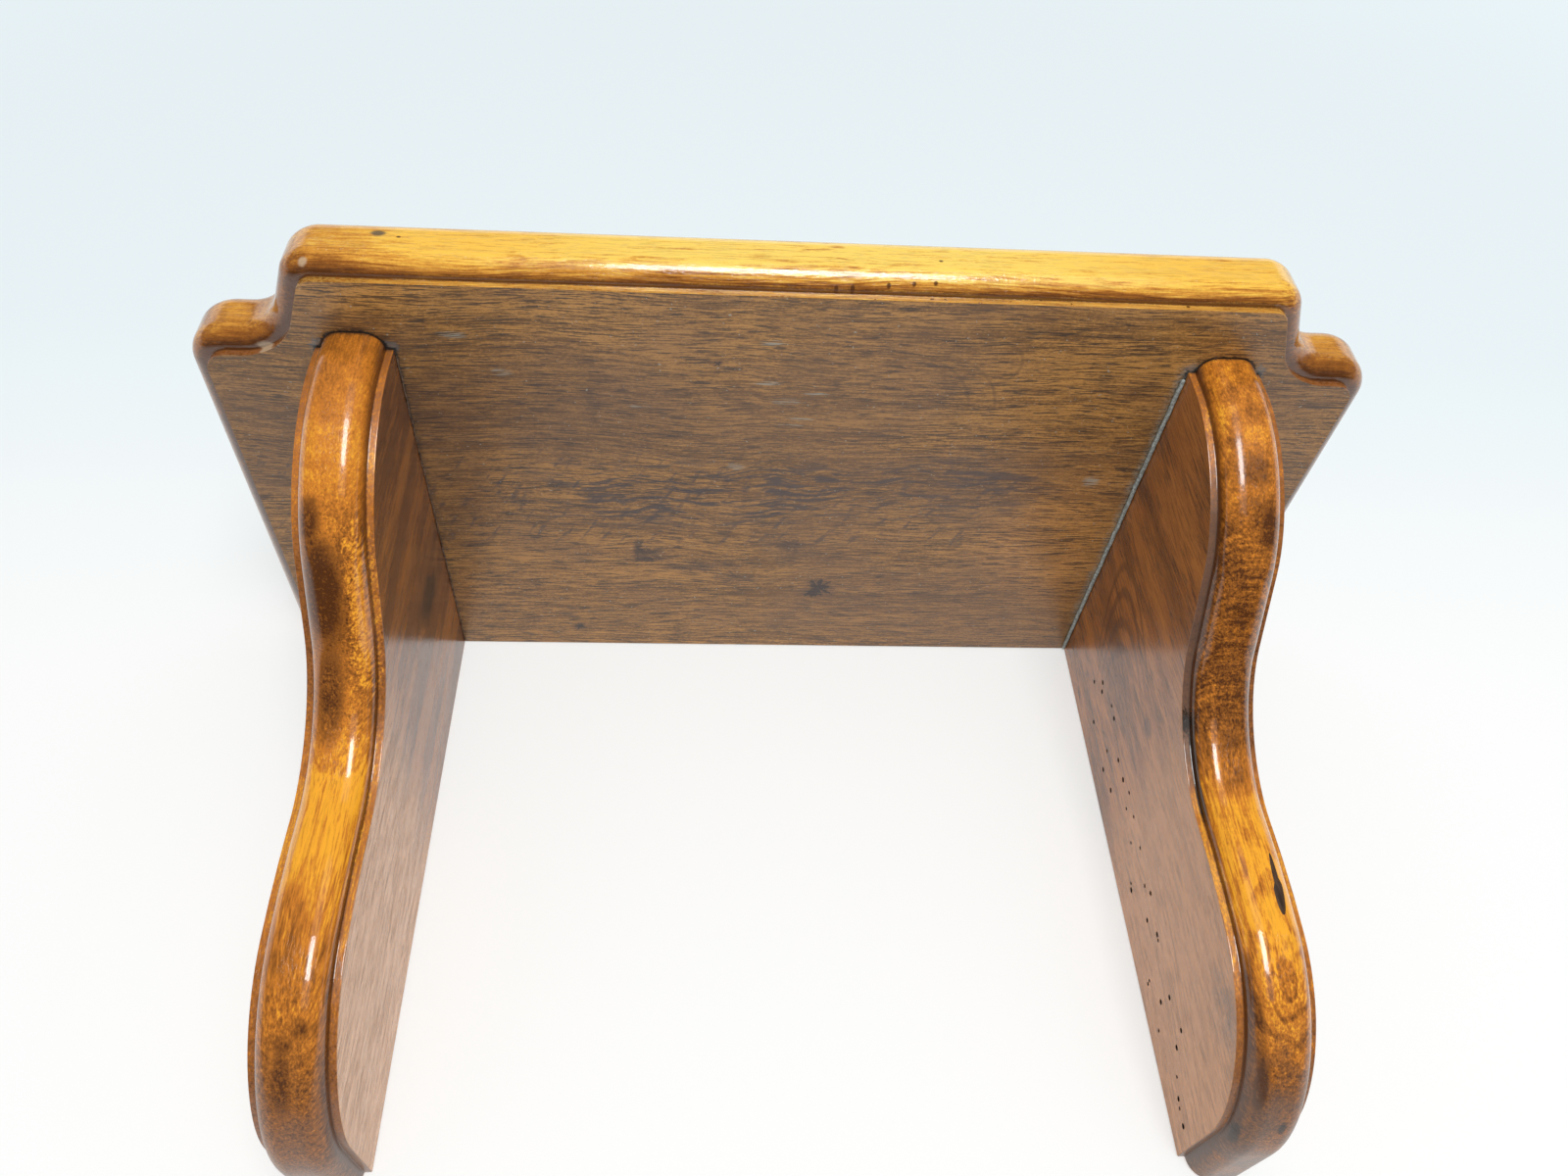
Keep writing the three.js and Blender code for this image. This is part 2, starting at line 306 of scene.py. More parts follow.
def cut_away(piece, cutter, inside):
    """Cuts a tool's shape out of a piece, and gives the cut its own material"""
    dress(cutter, inside)
    with_modifier(piece, "BOOLEAN", operation="DIFFERENCE", solver="EXACT", object=cutter,
                  material_mode="TRANSFER")
    bpy.data.objects.remove(cutter)


def ease_edges(piece, width, least=60):
    """Rounds off the sharp edges a little, as wear and sanding do"""
    with_modifier(piece, "BEVEL", width=width, segments=2, limit_method="ANGLE",
                  angle_limit=math.radians(least), use_clamp_overlap=True)


def smooth_faces(piece, angle=38):
    select_only(piece)
    bpy.ops.object.shade_smooth_by_angle(angle=math.radians(angle))
    with_modifier(piece, "WEIGHTED_NORMAL", keep_sharp=True)


def dress(piece, material):
    piece.data.materials.clear()
    piece.data.materials.append(material)


def edge_at(axis, level, *square):
    """A test for edges at one level of an axis that don't lie in any of the square planes"""
    def test(edge):
        ends = [corner.co for corner in edge.verts]
        if not all(near(end[axis], level) for end in ends):
            return False
        return not any(all(near(end[side], value) for end in ends) for side, value in square)
    return test


def face_at(axis, level):
    """A test for flat faces at one level of an axis"""
    def test(face):
        return abs(face.normal[axis]) > SQUARE and near(face.calc_center_median()[axis], level)
    return test


def mould(piece, axis, low, high, sizes, *square):
    """Moulds both faces of an open slab, which is thinner than its stock by a step on each side"""
    for face_level, out in ((low, -1), (high, 1)):
        level = face_level - out * sizes.step
        round_edges(piece, edge_at(axis, level, *square), sizes.radius, sizes.facets)
        draw_out(piece, face_at(axis, level), AXES[axis] * out * sizes.step)
    merge_flats()


def tangent_length(before, corner, after, radius):
    """How far from a corner its rounding starts"""
    turn = (corner - before).angle(after - corner)
    return radius * math.tan(turn / 2)


def round_corner(piece, test, before, corner, after, radius):
    """Rounds the open piece at one corner of its outline"""
    turn = math.degrees((corner - before).angle(after - corner))
    facets = max(LEAST_FACETS, math.ceil(turn / FACET_TURN))
    round_edges(piece, test, tangent_length(before, corner, after, radius), facets)


# Shaders

def maths(operation, swapped=False):
    """A method that adds a Math node on a wire and what it is joined with"""
    def join(wire, *others):
        inputs = (*others, wire) if swapped else (wire, *others)
        return wire.graph.add("ShaderNodeMath", {"operation": operation}, dict(enumerate(inputs)))
    return join


class Wire:
    """A shader socket that Python's operators join to others"""

    def __init__(self, graph, socket):
        self.graph = graph
        self.socket = socket

    __add__ = __radd__ = maths("ADD")
    __sub__ = maths("SUBTRACT")
    __rsub__ = maths("SUBTRACT", swapped=True)
    __mul__ = __rmul__ = maths("MULTIPLY")
    __truediv__ = maths("DIVIDE")
    __pow__ = maths("POWER")
    __abs__ = maths("ABSOLUTE")
    least = maths("MINIMUM")
    most = maths("MAXIMUM")
    root = maths("SQRT")
    sine = maths("SINE")
    turn = maths("ARCTAN2")

    def __neg__(self):
        return self * -1

    def swing(self, amount):
        """How far a noise strays from its middle, times an amount"""
        return (self - 0.5) * amount


class Graph:
    """The nodes of one material or world"""

    def __init__(self, owner):
        self.owner = owner
        owner.use_nodes = True
        self.tree = owner.node_tree
        self.tree.nodes.clear()

    def add(self, kind, settings=None, inputs=None, output=0):
        """Adds a node with its settings, and with values or wires on its sockets"""
        node = self.tree.nodes.new(kind)
        for key, value in (settings or {}).items():
            if key == "stops":
                set_stops(node.color_ramp, value)
            else:
                setattr(node, key, value)
        for key, value in (inputs or {}).items():
            if isinstance(value, Wire):
                self.tree.links.new(value.socket, node.inputs[key])
            else:
                node.inputs[key].default_value = value
        return Wire(self, node.outputs[output]) if node.outputs else None

    def finish(self, surface, kind="ShaderNodeOutputMaterial"):
        self.add(kind, None, {"Surface": surface})
        return self.owner

    def places(self):
        """Object coordinates in millimetres, along x, y and z"""
        coordinates = self.add("ShaderNodeTexCoord", None, None, "Object")
        return [self.add("ShaderNodeSeparateXYZ", None, {0: coordinates}, axis) / MM for axis in (X, Y, Z)]

    def noise(self, place, size=1, detail=2.0, roughness=0.5, distortion=0.0):
        """Noise from 0 to 1 over a place, with one size for all of its axes or one for each"""
        sizes = size if isinstance(size, tuple) else (size, size, size)
        scaled = enumerate(here / across for here, across in zip(place, sizes))
        return self.add("ShaderNodeTexNoise", None, {
            "Vector": self.add("ShaderNodeCombineXYZ", None, dict(scaled)), "Scale": 1.0,
            "Detail": detail, "Roughness": roughness, "Distortion": distortion,
        })

    def ramp(self, value, stops):
        return self.add("ShaderNodeValToRGB", {"stops": stops}, {0: value})

    def rise(self, value, low, high):
        """0 below low and 1 above high, with a smooth step between them"""
        return self.add("ShaderNodeMapRange", {"interpolation_type": "SMOOTHSTEP"},
                        {"Value": value, "From Min": low, "From Max": high})

    def fall(self, value, low, high):
        return 1 - self.rise(value, low, high)

    def between(self, value, start, full, ebb, end):
        """1 from full to ebb, and 0 before the start and after the end"""
        return self.rise(value, start, full) * self.fall(value, ebb, end)

    def blend(self, share, first, second):
        """Mixes two colours"""
        return self.add("ShaderNodeMix", {"data_type": "RGBA"},
                        {0: share, 6: as_colour(first), 7: as_colour(second)}, 2)

    def bump(self, height, strength, distance):
        return self.add("ShaderNodeBump", None,
                        {"Height": height, "Strength": strength, "Distance": distance})

    def patch(self, point, centre, reach, ragged=0.0):
        """1 near a centre, falling to 0 at the reach along each axis, with a ragged edge"""
        parts = [((here - there) / size) ** 2 for here, there, size in zip(point, centre, reach)]
        away = sum(parts[1:], parts[0]).root()
        return self.fall(away + ragged, WHOLE_SHARE, 1.0)

    def ray(self, kind):
        """1 for one kind of ray, and 0 for the others"""
        return self.add("ShaderNodeLightPath", None, None, f"Is {kind} Ray")

    def seen(self):
        """1 for what the camera, gloss or clear glass shows, and 0 for what only lights other things"""
        return self.ray("Camera").most(self.ray("Glossy")).most(self.ray("Transmission"))


class Layers:
    """A colour that is built up in layers, which can be kept within one part of the piece"""

    def __init__(self, graph, colour):
        self.graph = graph
        self.colour = colour
        self.within = None

    def lay(self, share, colour):
        """Covers a share of what is there with a colour"""
        if self.within:
            share = share * self.within
        self.colour = self.graph.blend(share, self.colour, colour)


def set_stops(ramp, stops):
    while len(ramp.elements) < len(stops):
        ramp.elements.new(1)
    for element, (position, value) in zip(ramp.elements, stops):
        element.position = position
        element.color = (value, value, value, 1)


def as_colour(value):
    """A colour with its alpha, or a wire as it is"""
    return value if isinstance(value, Wire) else (*value, 1.0)


class Timber:
    """The figure of one piece of walnut: growth lines, fibres, pores and blotches, each from 0 to 1"""

    def __init__(self, name, grain_axis, slab_axis, low, high):
        self.graph = graph = Graph(bpy.data.materials.new(name))
        self.point = graph.places()
        across_axis = ({X, Y, Z} - {grain_axis, slab_axis}).pop()
        along, across, deep = (self.point[axis] for axis in (grain_axis, across_axis, slab_axis))
        sway = graph.noise((along, across, deep), (60, 40, 40), 1.0).swing(7)
        self.place = (along, across + sway, deep)
        self.bands = self.streaks(110, 7, 3.0)
        self.lines = self.streaks(24, 0.9, 3.0)
        self.fibres = self.streaks(9, 0.45, 2.0)
        crowd = self.streaks(24, 3, 2.0).swing(0.25)
        self.pores = graph.rise(self.streaks(7, 0.45, 2.0) + crowd, 0.545, 0.60)
        self.flecks = self.streaks(0.8, 0.5, 3.0)
        self.blotches = graph.noise(self.point, 8, 4.0, 0.6, 0.3)
        middle, half = (low + high) / 2 / MM, (high - low) / 2 / MM
        self.depth = half - abs(deep - middle)

    def streaks(self, reach, width, detail):
        """Noise drawn out along the grain"""
        return self.graph.noise(self.place, (reach, width, width), detail, 0.6)

    def ragged(self):
        """A rim that breaks up along the grain"""
        return self.lines.swing(1.6) + self.flecks.swing(0.8)

    def moulded(self):
        """1 on the moulded edges and 0 on the faces and the back"""
        return self.graph.rise(self.depth, 0.03, 0.12) * self.graph.rise(-self.point[Y], 0.2, 0.5)

    def face(self, pale, dark, finish, pored=0.8):
        """The satin flat faces"""
        graph = self.graph
        figure = self.bands * 0.2 + self.lines * 0.25 + self.fibres * 0.3 + self.flecks * 0.25
        face = Layers(graph, dark)
        face.lay(graph.rise(figure, 0.425, 0.575), pale)
        face.lay(graph.rise(self.blotches, 0.45, 0.75) * 0.3, dark)
        face.lay(self.pores * pored, finish.grime_and_shade)
        return face

    def varnish(self, tone, amber, orange, bright, shelf, flecked, blotched, streaked):
        """The glossy moulded edges, from amber where the tone is 0 to umber where it is 1, with a painted
        shade in the crease beside the step
        """
        graph, finish, step = self.graph, shelf.finish, shelf.moulding.step / MM
        tone = tone + self.flecks.swing(flecked) + self.blotches.swing(blotched)
        tone = tone + self.lines.swing(streaked) + self.fibres.swing(streaked)
        under_step = self.depth - step
        strip = graph.fall(under_step, -0.15, 0.05)
        # The tone deepens on the round just beside the step: a painted shade
        tone = tone + graph.between(under_step, -0.2, 0.2, 0.2, 1.4) * 0.3 + strip * 0.12
        edge = Layers(graph, amber)
        edge.lay(graph.rise(tone, -0.1, 0.32), orange)
        edge.lay(graph.rise(tone, 0.22, 0.66), finish.russet)
        edge.lay(graph.rise(tone, 0.55, 1.1), finish.umber_and_shade)
        edge.lay(self.pores * 0.16, finish.umber_and_shade)
        edge.lay(strip * graph.rise(self.flecks, 0.35, 0.6) * 0.5, bright)
        # A painted shade darkens the concave crease between the step and the round
        shaded_crease = graph.fall(abs(under_step + self.flecks.swing(0.6)), 0.05, 0.4)
        edge.lay(shaded_crease * 0.85, finish.umber_and_shade)
        return edge

    def finish(self, face, edge, relief, satin, wrinkled=0.0, sheen=0.0, dull=0.0, index=1.52):
        """The whole finish: face and edge colours, gloss and relief"""
        graph = self.graph
        moulded = self.moulded()
        height = relief + self.fibres * 0.25 + graph.noise(self.point, 1.2) * (moulded * 0.3 + 0.3)
        height = height - self.pores * (0.7 - moulded * 0.5)
        gloss = satin + moulded * (0.1 - satin + wrinkled * 0.12 + dull * 0.2)
        return graph.finish(graph.add("ShaderNodeBsdfPrincipled", None, {
            "Base Color": graph.blend(moulded, face.colour, edge.colour),
            "Roughness": gloss + self.flecks.swing(0.06),
            "Coat Weight": moulded * (0.55 - dull * 0.45) + (1 - moulded) * sheen,
            "Coat Roughness": 0.08,
            "IOR": index,
            "Normal": graph.bump(height, 0.45, 0.1 * MM),
        }))


# Stains on the board, and the paler amber of a painted highlight on its front edge
SMOKE = (0.045, 0.038, 0.045)
CLOUD = (0.16, 0.088, 0.055)
DARK_CLOUD = (0.075, 0.042, 0.036)
RUDDY_PALE = (0.62, 0.30, 0.08)
RUDDY_DARK = (0.36, 0.165, 0.045)
KNOT_RING = (0.12, 0.06, 0.035)
KNOT_CORE = (0.03, 0.021, 0.022)
GREY_GLUE = (0.14, 0.17, 0.185)
JOINT_LINE = (0.014, 0.012, 0.012)
JOINT_DUST = (0.29, 0.33, 0.31)
# A painted highlight: the paler amber over the middle of the board's front edge
HIGHLIGHT_AMBER = (0.96, 0.70, 0.15)
GOLD = (0.66, 0.38, 0.08)
PUTTY = (0.11, 0.085, 0.06)
RAW_WOOD = (0.62, 0.48, 0.32)

# Marks on the board's underside, in millimetres along x and y: centre, reach and depth of tone
CLOUDS = (((-60, -112), (48, 26), 0.3), ((-95, -85), (14, 50), 0.25), ((-25, -72), (38, 14), 0.1))
KNOTS = (((13.5, -33), (5.2, 4.4), 0.9), ((-40, -49), (5.5, 4.6), 0.6), ((-43, -52), (1.6, 5), 0.6),
         ((-63, -10), (2.2, 2), 0.85), ((-27, -43), (10, 2.6), 0.4), ((-13, -38), (7, 3), 0.45),
         ((3.5, -55), (5, 3.2), 0.5), ((-21, -129), (1.6, 0.8), 0.9), ((-53.5, -112), (2.5, 6), 0.25))
SCUFFS = (((-19.5, -148), (4.5, 1.3)), ((-87, -136), (5, 1.6)), ((-7, -136.5), (4.5, 1.2)),
          ((-8.5, -122.5), (5, 1)), ((-41, -113), (4, 1)), ((-2.4, -116), (5, 1.4)),
          ((2, -109.5), (4.5, 0.9)), ((-1, -107), (5, 0.7)), ((5, -119), (4.5, 0.8)),
          ((87.6, -86.7), (3.4, 3.2)), ((-15, -90), (3, 2)), ((-76, -124), (3.5, 2)))
# Scratches that are parts of circles: centre, radius and middle of the part
ARCS = (((26, -114), 20, (39, -128)), ((33, -114), 20.4, (47.5, -126)), ((50, -131.5), 7, (55.5, -134)))
SCRATCH_REACH = (16, 17)
RUDDY_PART = ((84, -56), (32, 52))
# Where cross curl runs over the underside along x, and dust beside the right bracket along the depth:
# start, full, ebb and end
CURL_REACH = (-100, -40, 55, 92)
DUST_REACH = (2, 20, 125, 138)
# Marks on the board's moulding, in millimetres: centre and reach
DEEP_CORNER = ((131, -148, 0), (12, 16, 30))
PUTTY_SPOT = ((-103, 2.1), (2.4, 1.5))
CHIP = ((-133, -129), (3.5, 1.6))
DING = ((-119, -7), (1.4, 1.0))
PIT_REACH = (0.7, 0.5)
# Where its lower corner is nicked and its surface wavy: start, full, ebb and end along x
NICKED_REACH = (-10, 12, 60, 90)
WAVY_REACH = (-55, -20, 40, 80)
# Pits in the board's front edge, in millimetres along x and z
PITS = ((-98, 1), (33, -1), (95, -9), (7, -8.2), (11, -8.1), (19.8, -7.7), (26, -7.4), (31.3, -7.2))


def board_walnut(shelf):
    finish = shelf.finish
    timber = Timber("board_walnut", X, Z, BOARD_LOW.z, BOARD_HIGH.z)
    graph, (x, y, z) = timber.graph, timber.point
    face = timber.face(finish.pale_walnut, finish.dark_walnut, finish)
    face.within = graph.fall(z, -1, 1)
    warp = graph.noise((x, y, 0), 30) - 0.5
    stain_underside(timber, face, finish, warp)
    mark_underside(timber, face, finish, warp)
    shade_and_soil_joints(timber, face, shelf)
    edge, relief = board_edge(timber, shelf)
    return timber.finish(face, edge, relief, 0.3)


def stain_underside(timber, face, finish, warp):
    """Cross curl, slanting smears, clouds and a ruddy part on the board's underside"""
    graph, (x, y, _) = timber.graph, timber.point
    cross = y + warp * 14 + x * 0.05
    belt = graph.fall(abs(cross + 79), 7, 19) * graph.between(x, *CURL_REACH)
    curl = graph.rise(graph.noise((x, cross, 0.5), (13, 1.2, 1), 3.0, 0.6), 0.51, 0.56)
    face.lay(belt * curl * 0.85, SMOKE)
    slant = graph.noise((y * 0.88 - x * 0.48, x * 0.88 + y * 0.48, 0), (12, 2.6, 1))
    smears = graph.rise(slant, 0.55, 0.68) * graph.fall(abs(y + 74), 14, 26)
    face.lay(smears * graph.rise(timber.lines, 0.42, 0.54) * 0.7, SMOKE)
    cloud = graph.noise((x, y, 0.3), (55, 32, 1))
    face.lay(graph.rise(cloud, 0.42, 0.62) * 0.3, CLOUD)
    ruddy = graph.patch((x, y), *RUDDY_PART, cloud.swing(1.2))
    face.lay(ruddy * 0.6, timber.face(RUDDY_PALE, RUDDY_DARK, finish).colour)
    for centre, reach, share in CLOUDS:
        face.lay(graph.patch((x, y), centre, reach, cloud.swing(1.4)) * share, DARK_CLOUD)


def mark_underside(timber, face, finish, warp):
    """Knots, scratches, scuffs and pale specks on the board's underside"""
    graph, flat, ragged = timber.graph, timber.point[:2], timber.ragged()
    x, y = flat
    for centre, reach, tone in KNOTS:
        round_it = graph.patch(flat, centre, (reach[0] * 1.7, reach[1] * 1.5), ragged * 0.6)
        face.lay(round_it * tone * 0.45, KNOT_RING)
        turn = (y - centre[1]).turn(x - centre[0])
        cracks = graph.noise((turn * 2.2, *reach), 1, 2.0, 0.7).swing(2.6)
        face.lay(graph.patch(flat, centre, reach, ragged + cracks) * tone, KNOT_CORE)
    for centre, radius, middle in ARCS:
        ring = abs(((x - centre[0]) ** 2 + (y - centre[1]) ** 2).root() + warp * 3 - radius)
        scratch = graph.patch(flat, middle, SCRATCH_REACH, timber.blotches - 0.5)
        scratch = scratch * graph.fall(ring, 0.15, 0.7)
        face.lay(scratch * graph.rise(timber.fibres + timber.flecks, 0.85, 1.1) * 0.42, finish.grime_and_shade)
    scuffed = reduce(Wire.most, [graph.patch(flat, centre, reach, ragged) for centre, reach in SCUFFS])
    scuffed = scuffed * graph.rise(timber.fibres + timber.lines, 0.95, 1.1)
    specks = graph.rise(graph.noise(timber.point, 0.9, 1.0), 0.74, 0.77)
    face.lay(scuffed.most(specks) * 0.75, finish.dust)


def shade_and_soil_joints(timber, face, shelf):
    """Painted shade in the grime colour, glue, dust and a dark joint line on the board's underside, round
    the tops of the brackets
    """
    graph, (x, y, _) = timber.graph, timber.point
    step, radius = shelf.moulding.step / MM, shelf.moulding.radius / MM
    across = abs(abs(x) - BRACKET_MIDDLE) - BRACKET_HALF
    ahead = -y - shelf.bracket.top_depth / MM
    nose = ((across + step + radius).most(0) ** 2 + (ahead + radius).most(0) ** 2).root() - radius
    foot = nose.least(across.most(ahead + radius))
    crumbs = timber.blotches.swing(7) + timber.flecks.swing(3)
    # A painted shade round each bracket's top, darker towards the front
    painted_shade_rim = graph.fall(foot + crumbs, 0.0, 2.4)
    face.lay(painted_shade_rim * (graph.rise(-y, 20, 130) * 0.3 + 0.2), shelf.finish.grime_and_shade)
    notch = graph.patch((across, ahead), (-0.8, 0.8 - radius), (2.6, 2.8), timber.flecks.swing(1.6))
    face.lay(notch * 0.5, GREY_GLUE)
    line = graph.fall(foot + timber.flecks.swing(1.6), 0.3, 0.8) * graph.rise(-y, 96, 118)
    face.lay(line * 0.92, JOINT_LINE)
    joint = graph.fall(abs(x - BRACKET_MIDDLE + BRACKET_HALF) + crumbs * 0.6, 0.8, 3.6)
    dusty = joint * graph.between(-y, *DUST_REACH)
    face.lay(dusty * graph.rise(timber.flecks, 0.38, 0.6) * 0.55, JOINT_DUST)


def board_edge(timber, shelf):
    """The board's moulded edge, with its filled, chipped and pitted places, a painted highlight over its
    middle, a painted shade on its lower round, and its relief
    """
    graph, finish, ragged, (x, y, z) = timber.graph, shelf.finish, timber.ragged(), timber.point
    end = graph.rise(-x, 85, 130).most(graph.rise(x, 116, 138))
    corner = graph.patch(timber.point, *DEEP_CORNER, timber.blotches.swing(1.6))
    # The tone deepens on the lower round, which faces down: a painted shade
    tone = end * 0.5 + corner * 0.25 - 0.1 + timber.bands.swing(0.5) + graph.fall(z, -8, -3) * 0.35
    # The middle of the front edge is blended to a paler amber: a painted highlight
    amber = graph.blend(graph.fall(abs(x - 8), 35, 95) * 0.7, finish.board_amber, HIGHLIGHT_AMBER)
    bright = graph.blend(graph.rise(abs(x), 118, 132), GOLD, finish.copper)
    edge = timber.varnish(tone, amber, finish.board_orange, bright, shelf, 0.4, end * 0.5 + 0.4,
                          1.2 - end * 0.8)
    putty = graph.patch((x, z), *PUTTY_SPOT, ragged * 0.4)
    edge.lay(putty * 0.9, PUTTY)
    chip = graph.patch((x, y), *CHIP, ragged * 0.5) * graph.fall(z, -9, -7)
    ding = graph.patch((x, z), *DING, ragged * 0.4)
    edge.lay(chip.most(ding) * 0.6, RAW_WOOD)
    nicks = graph.rise(graph.noise(timber.point, (1.4, 0.9, 0.8), 1.0), 0.70, 0.76)
    worn = nicks * graph.fall(abs(z + 9.3), 0.5, 2.0) * graph.between(x, *NICKED_REACH)
    edge.lay(worn * 0.9, finish.umber_and_shade)
    for centre in PITS:
        edge.lay(graph.patch((x, z), centre, PIT_REACH) * 0.9, finish.umber_and_shade)
    wavy = graph.noise(timber.point, (1.6, 0.9, 0.6)) * graph.between(x, *WAVY_REACH)
    rough = timber.pores * 0.4 + timber.lines * 0.4 + wavy * 3
    return edge, -(worn + putty * 0.5 + chip) * 0.8 - timber.moulded() * rough


# Stains on the brackets, and a painted shade at the top of the left one
RUST = (0.52, 0.19, 0.035)
DARK_STREAK = (0.11, 0.04, 0.014)
# Painted shade over the top of the left bracket's faces, under the board
TOP_SHADE = (0.11, 0.042, 0.016)
BRACKET_KNOT_RING = (0.07, 0.03, 0.018)
BRACKET_KNOT_CORE = (0.012, 0.010, 0.012)
FLAME = (0.10, 0.036, 0.014)
FLAME_EYE = (0.07, 0.022, 0.014)
DRAWN_GRAIN = (0.17, 0.075, 0.03)
SMUDGE = (0.06, 0.045, 0.045)
TIRED_VARNISH = (0.11, 0.075, 0.06)
HOLLOW = (0.012, 0.009, 0.007)
WORN_FOOT = (0.12, 0.085, 0.065)
# Marks on the brackets' flat faces, in millimetres along y and z: centre and reach
LEFT_KNOT = ((-54, -31), (7, 11))
LEFT_KNOT_RING = ((-58, -30), (16, 26))
FLAME_SPOT = ((-50, -69), (3, 4.4))
SMUDGE_SPOT = ((-51, -145), (10, 13))
# The point of the right bracket's flames, along y and z
FLAME_POINT = (-66, -22)
# Marks on the right bracket's moulding: centre and reach, along all axes or along x and y
BRUISE = ((102, -73, -80), (3.2, 6, 4))
DENTS = (((104.3, -32.8), (0.9, 5.5)), ((113, -39.3), (1.3, 2.6)))
# The knot in the right bracket's foot, along x and z
FOOT_KNOT = (112.5, -145)
# Heights at which the mouldings are wrinkled, tired, open at the step or cross-curled: start, full, ebb, end
WRINKLED_REACH = (-52, -36, -22, -12)
TIRED_REACH = (-100, -84, -50, -36)
GAP_REACH = (-107, -101, -84, -78)
CROSS_CURL_REACH = (-90, -74, -58, -48)
# Where the brackets' finishes differ; the tint of the lower faces is painted light and reflection
LOOKS = {
    "left": {"rust": 0.6, "dark_streaks": 0.55, "light_tint": (0.85, 0.38, 0.09), "speckled": 0.7,
             "blotched": 0.8, "worn": 0.15, "sheen": 0.32},
    "right": {"rust": 0.3, "dark_streaks": 0.4, "light_tint": (0.62, 0.26, 0.07), "speckled": 0.95,
              "blotched": 1.3, "worn": 0.4, "sheen": 0.12},
}
# Tone of each bracket's moulding from the foot up: share of the height, then 0 for amber to 1 for umber
TONES = {
    "left": ((0, 0.8), (0.075, 0.65), (0.128, 0.45), (0.19, 0.38), (0.265, 0.22), (0.315, 0.05),
             (0.446, 0.0), (0.5, 0.16), (0.56, 0.42), (0.61, 0.54), (0.65, 0.64), (0.7, 0.55),
             (0.735, 0.38), (0.77, 0.18), (0.82, 0.2), (0.9, 0.38), (1, 0.5)),
    "right": ((0, 0.85), (0.05, 0.72), (0.1, 0.5), (0.19, 0.34), (0.27, 0.02), (0.44, 0.04), (0.5, 0.42),
              (0.56, 0.8), (0.63, 0.8), (0.7, 0.72), (0.76, 0.55), (0.82, 0.42), (0.9, 0.38), (1, 0.38)),
}
# Dark and pale patches on the mouldings, in millimetres: centre, reach and change of tone
PATCHES = {
    "left": (((-115.5, -118, -55), (4, 11, 5), 0.5), ((-111, -116, -56.5), (4, 7, 4), -0.15),
             ((-113.5, -102, -64), (6, 24, 10), 0.5), ((-104.5, -98, -66), (4.5, 34, 16), -0.45),
             ((-113.5, -79, -80), (4, 18, 14), 0.4), ((-106, -69, -99), (4, 12, 8), -0.12),
             ((-114, -69, -130), (5, 12, 14), 0.22), ((-111.6, -59.6, -152.5), (2.6, 5, 2), 0.25),
             ((-108, -61.2, -150), (2.4, 5, 2.4), 0.25), ((-112, -54, -158.6), (2.4, 10, 9), 0.25)),
    "right": (((114.6, -120, -53), (2.8, 8, 6), 0.4), ((111, -127, -42), (5, 9, 5), 0.25),
              ((103.8, -131, -32), (2.4, 14, 14), -0.2), ((112, -72, -95), (5, 14, 12), 0.3),
              ((106, -80, -80), (3, 12, 8), -0.15), ((106, -49.4, -161.4), (1.8, 9, 9), 0.45),
              ((104.6, -60, -150), (2.2, 14, 16), 0.3)),
}


def bracket_walnut(side, shelf, low, high):
    finish, look = shelf.finish, LOOKS[side]
    timber = Timber(f"{side}_bracket_walnut", Z, X, low.x, high.x)
    graph, z = timber.graph, timber.point[Z]
    upper = graph.rise(z, -100, -60)
    face = timber.face(finish.red_walnut, finish.dark_red_walnut, finish, upper * 0.3 + 0.35)
    drawn = bracket_face(side, timber, face, upper)
    height = (z - low.z / MM) / ((high.z - low.z) / MM)
    edge = bracket_edge(side, timber, shelf, height)
    top = graph.rise(z + timber.blotches.swing(2), UNDERSIDE / MM - 1.2, UNDERSIDE / MM - 0.2)
    face.lay(top * 0.45, finish.grime_and_shade)
    edge.lay(top * 0.6, finish.grime_and_shade)
    dull = graph.fall(z, -165, -146)
    edge.lay(dull * graph.rise(timber.blotches, 0.3, 0.6) * look["worn"], WORN_FOOT)
    wrinkled = graph.between(z, *WRINKLED_REACH)
    relief = timber.lines * 0.2 + timber.flecks * wrinkled
    sheen = (1 - upper) * look["sheen"] * (1.35 - drawn * 1.2)
    satin = drawn * (1 - upper) * 0.2 + 0.18
    return timber.finish(face, edge, relief, satin, wrinkled, sheen, dull, 1.46)


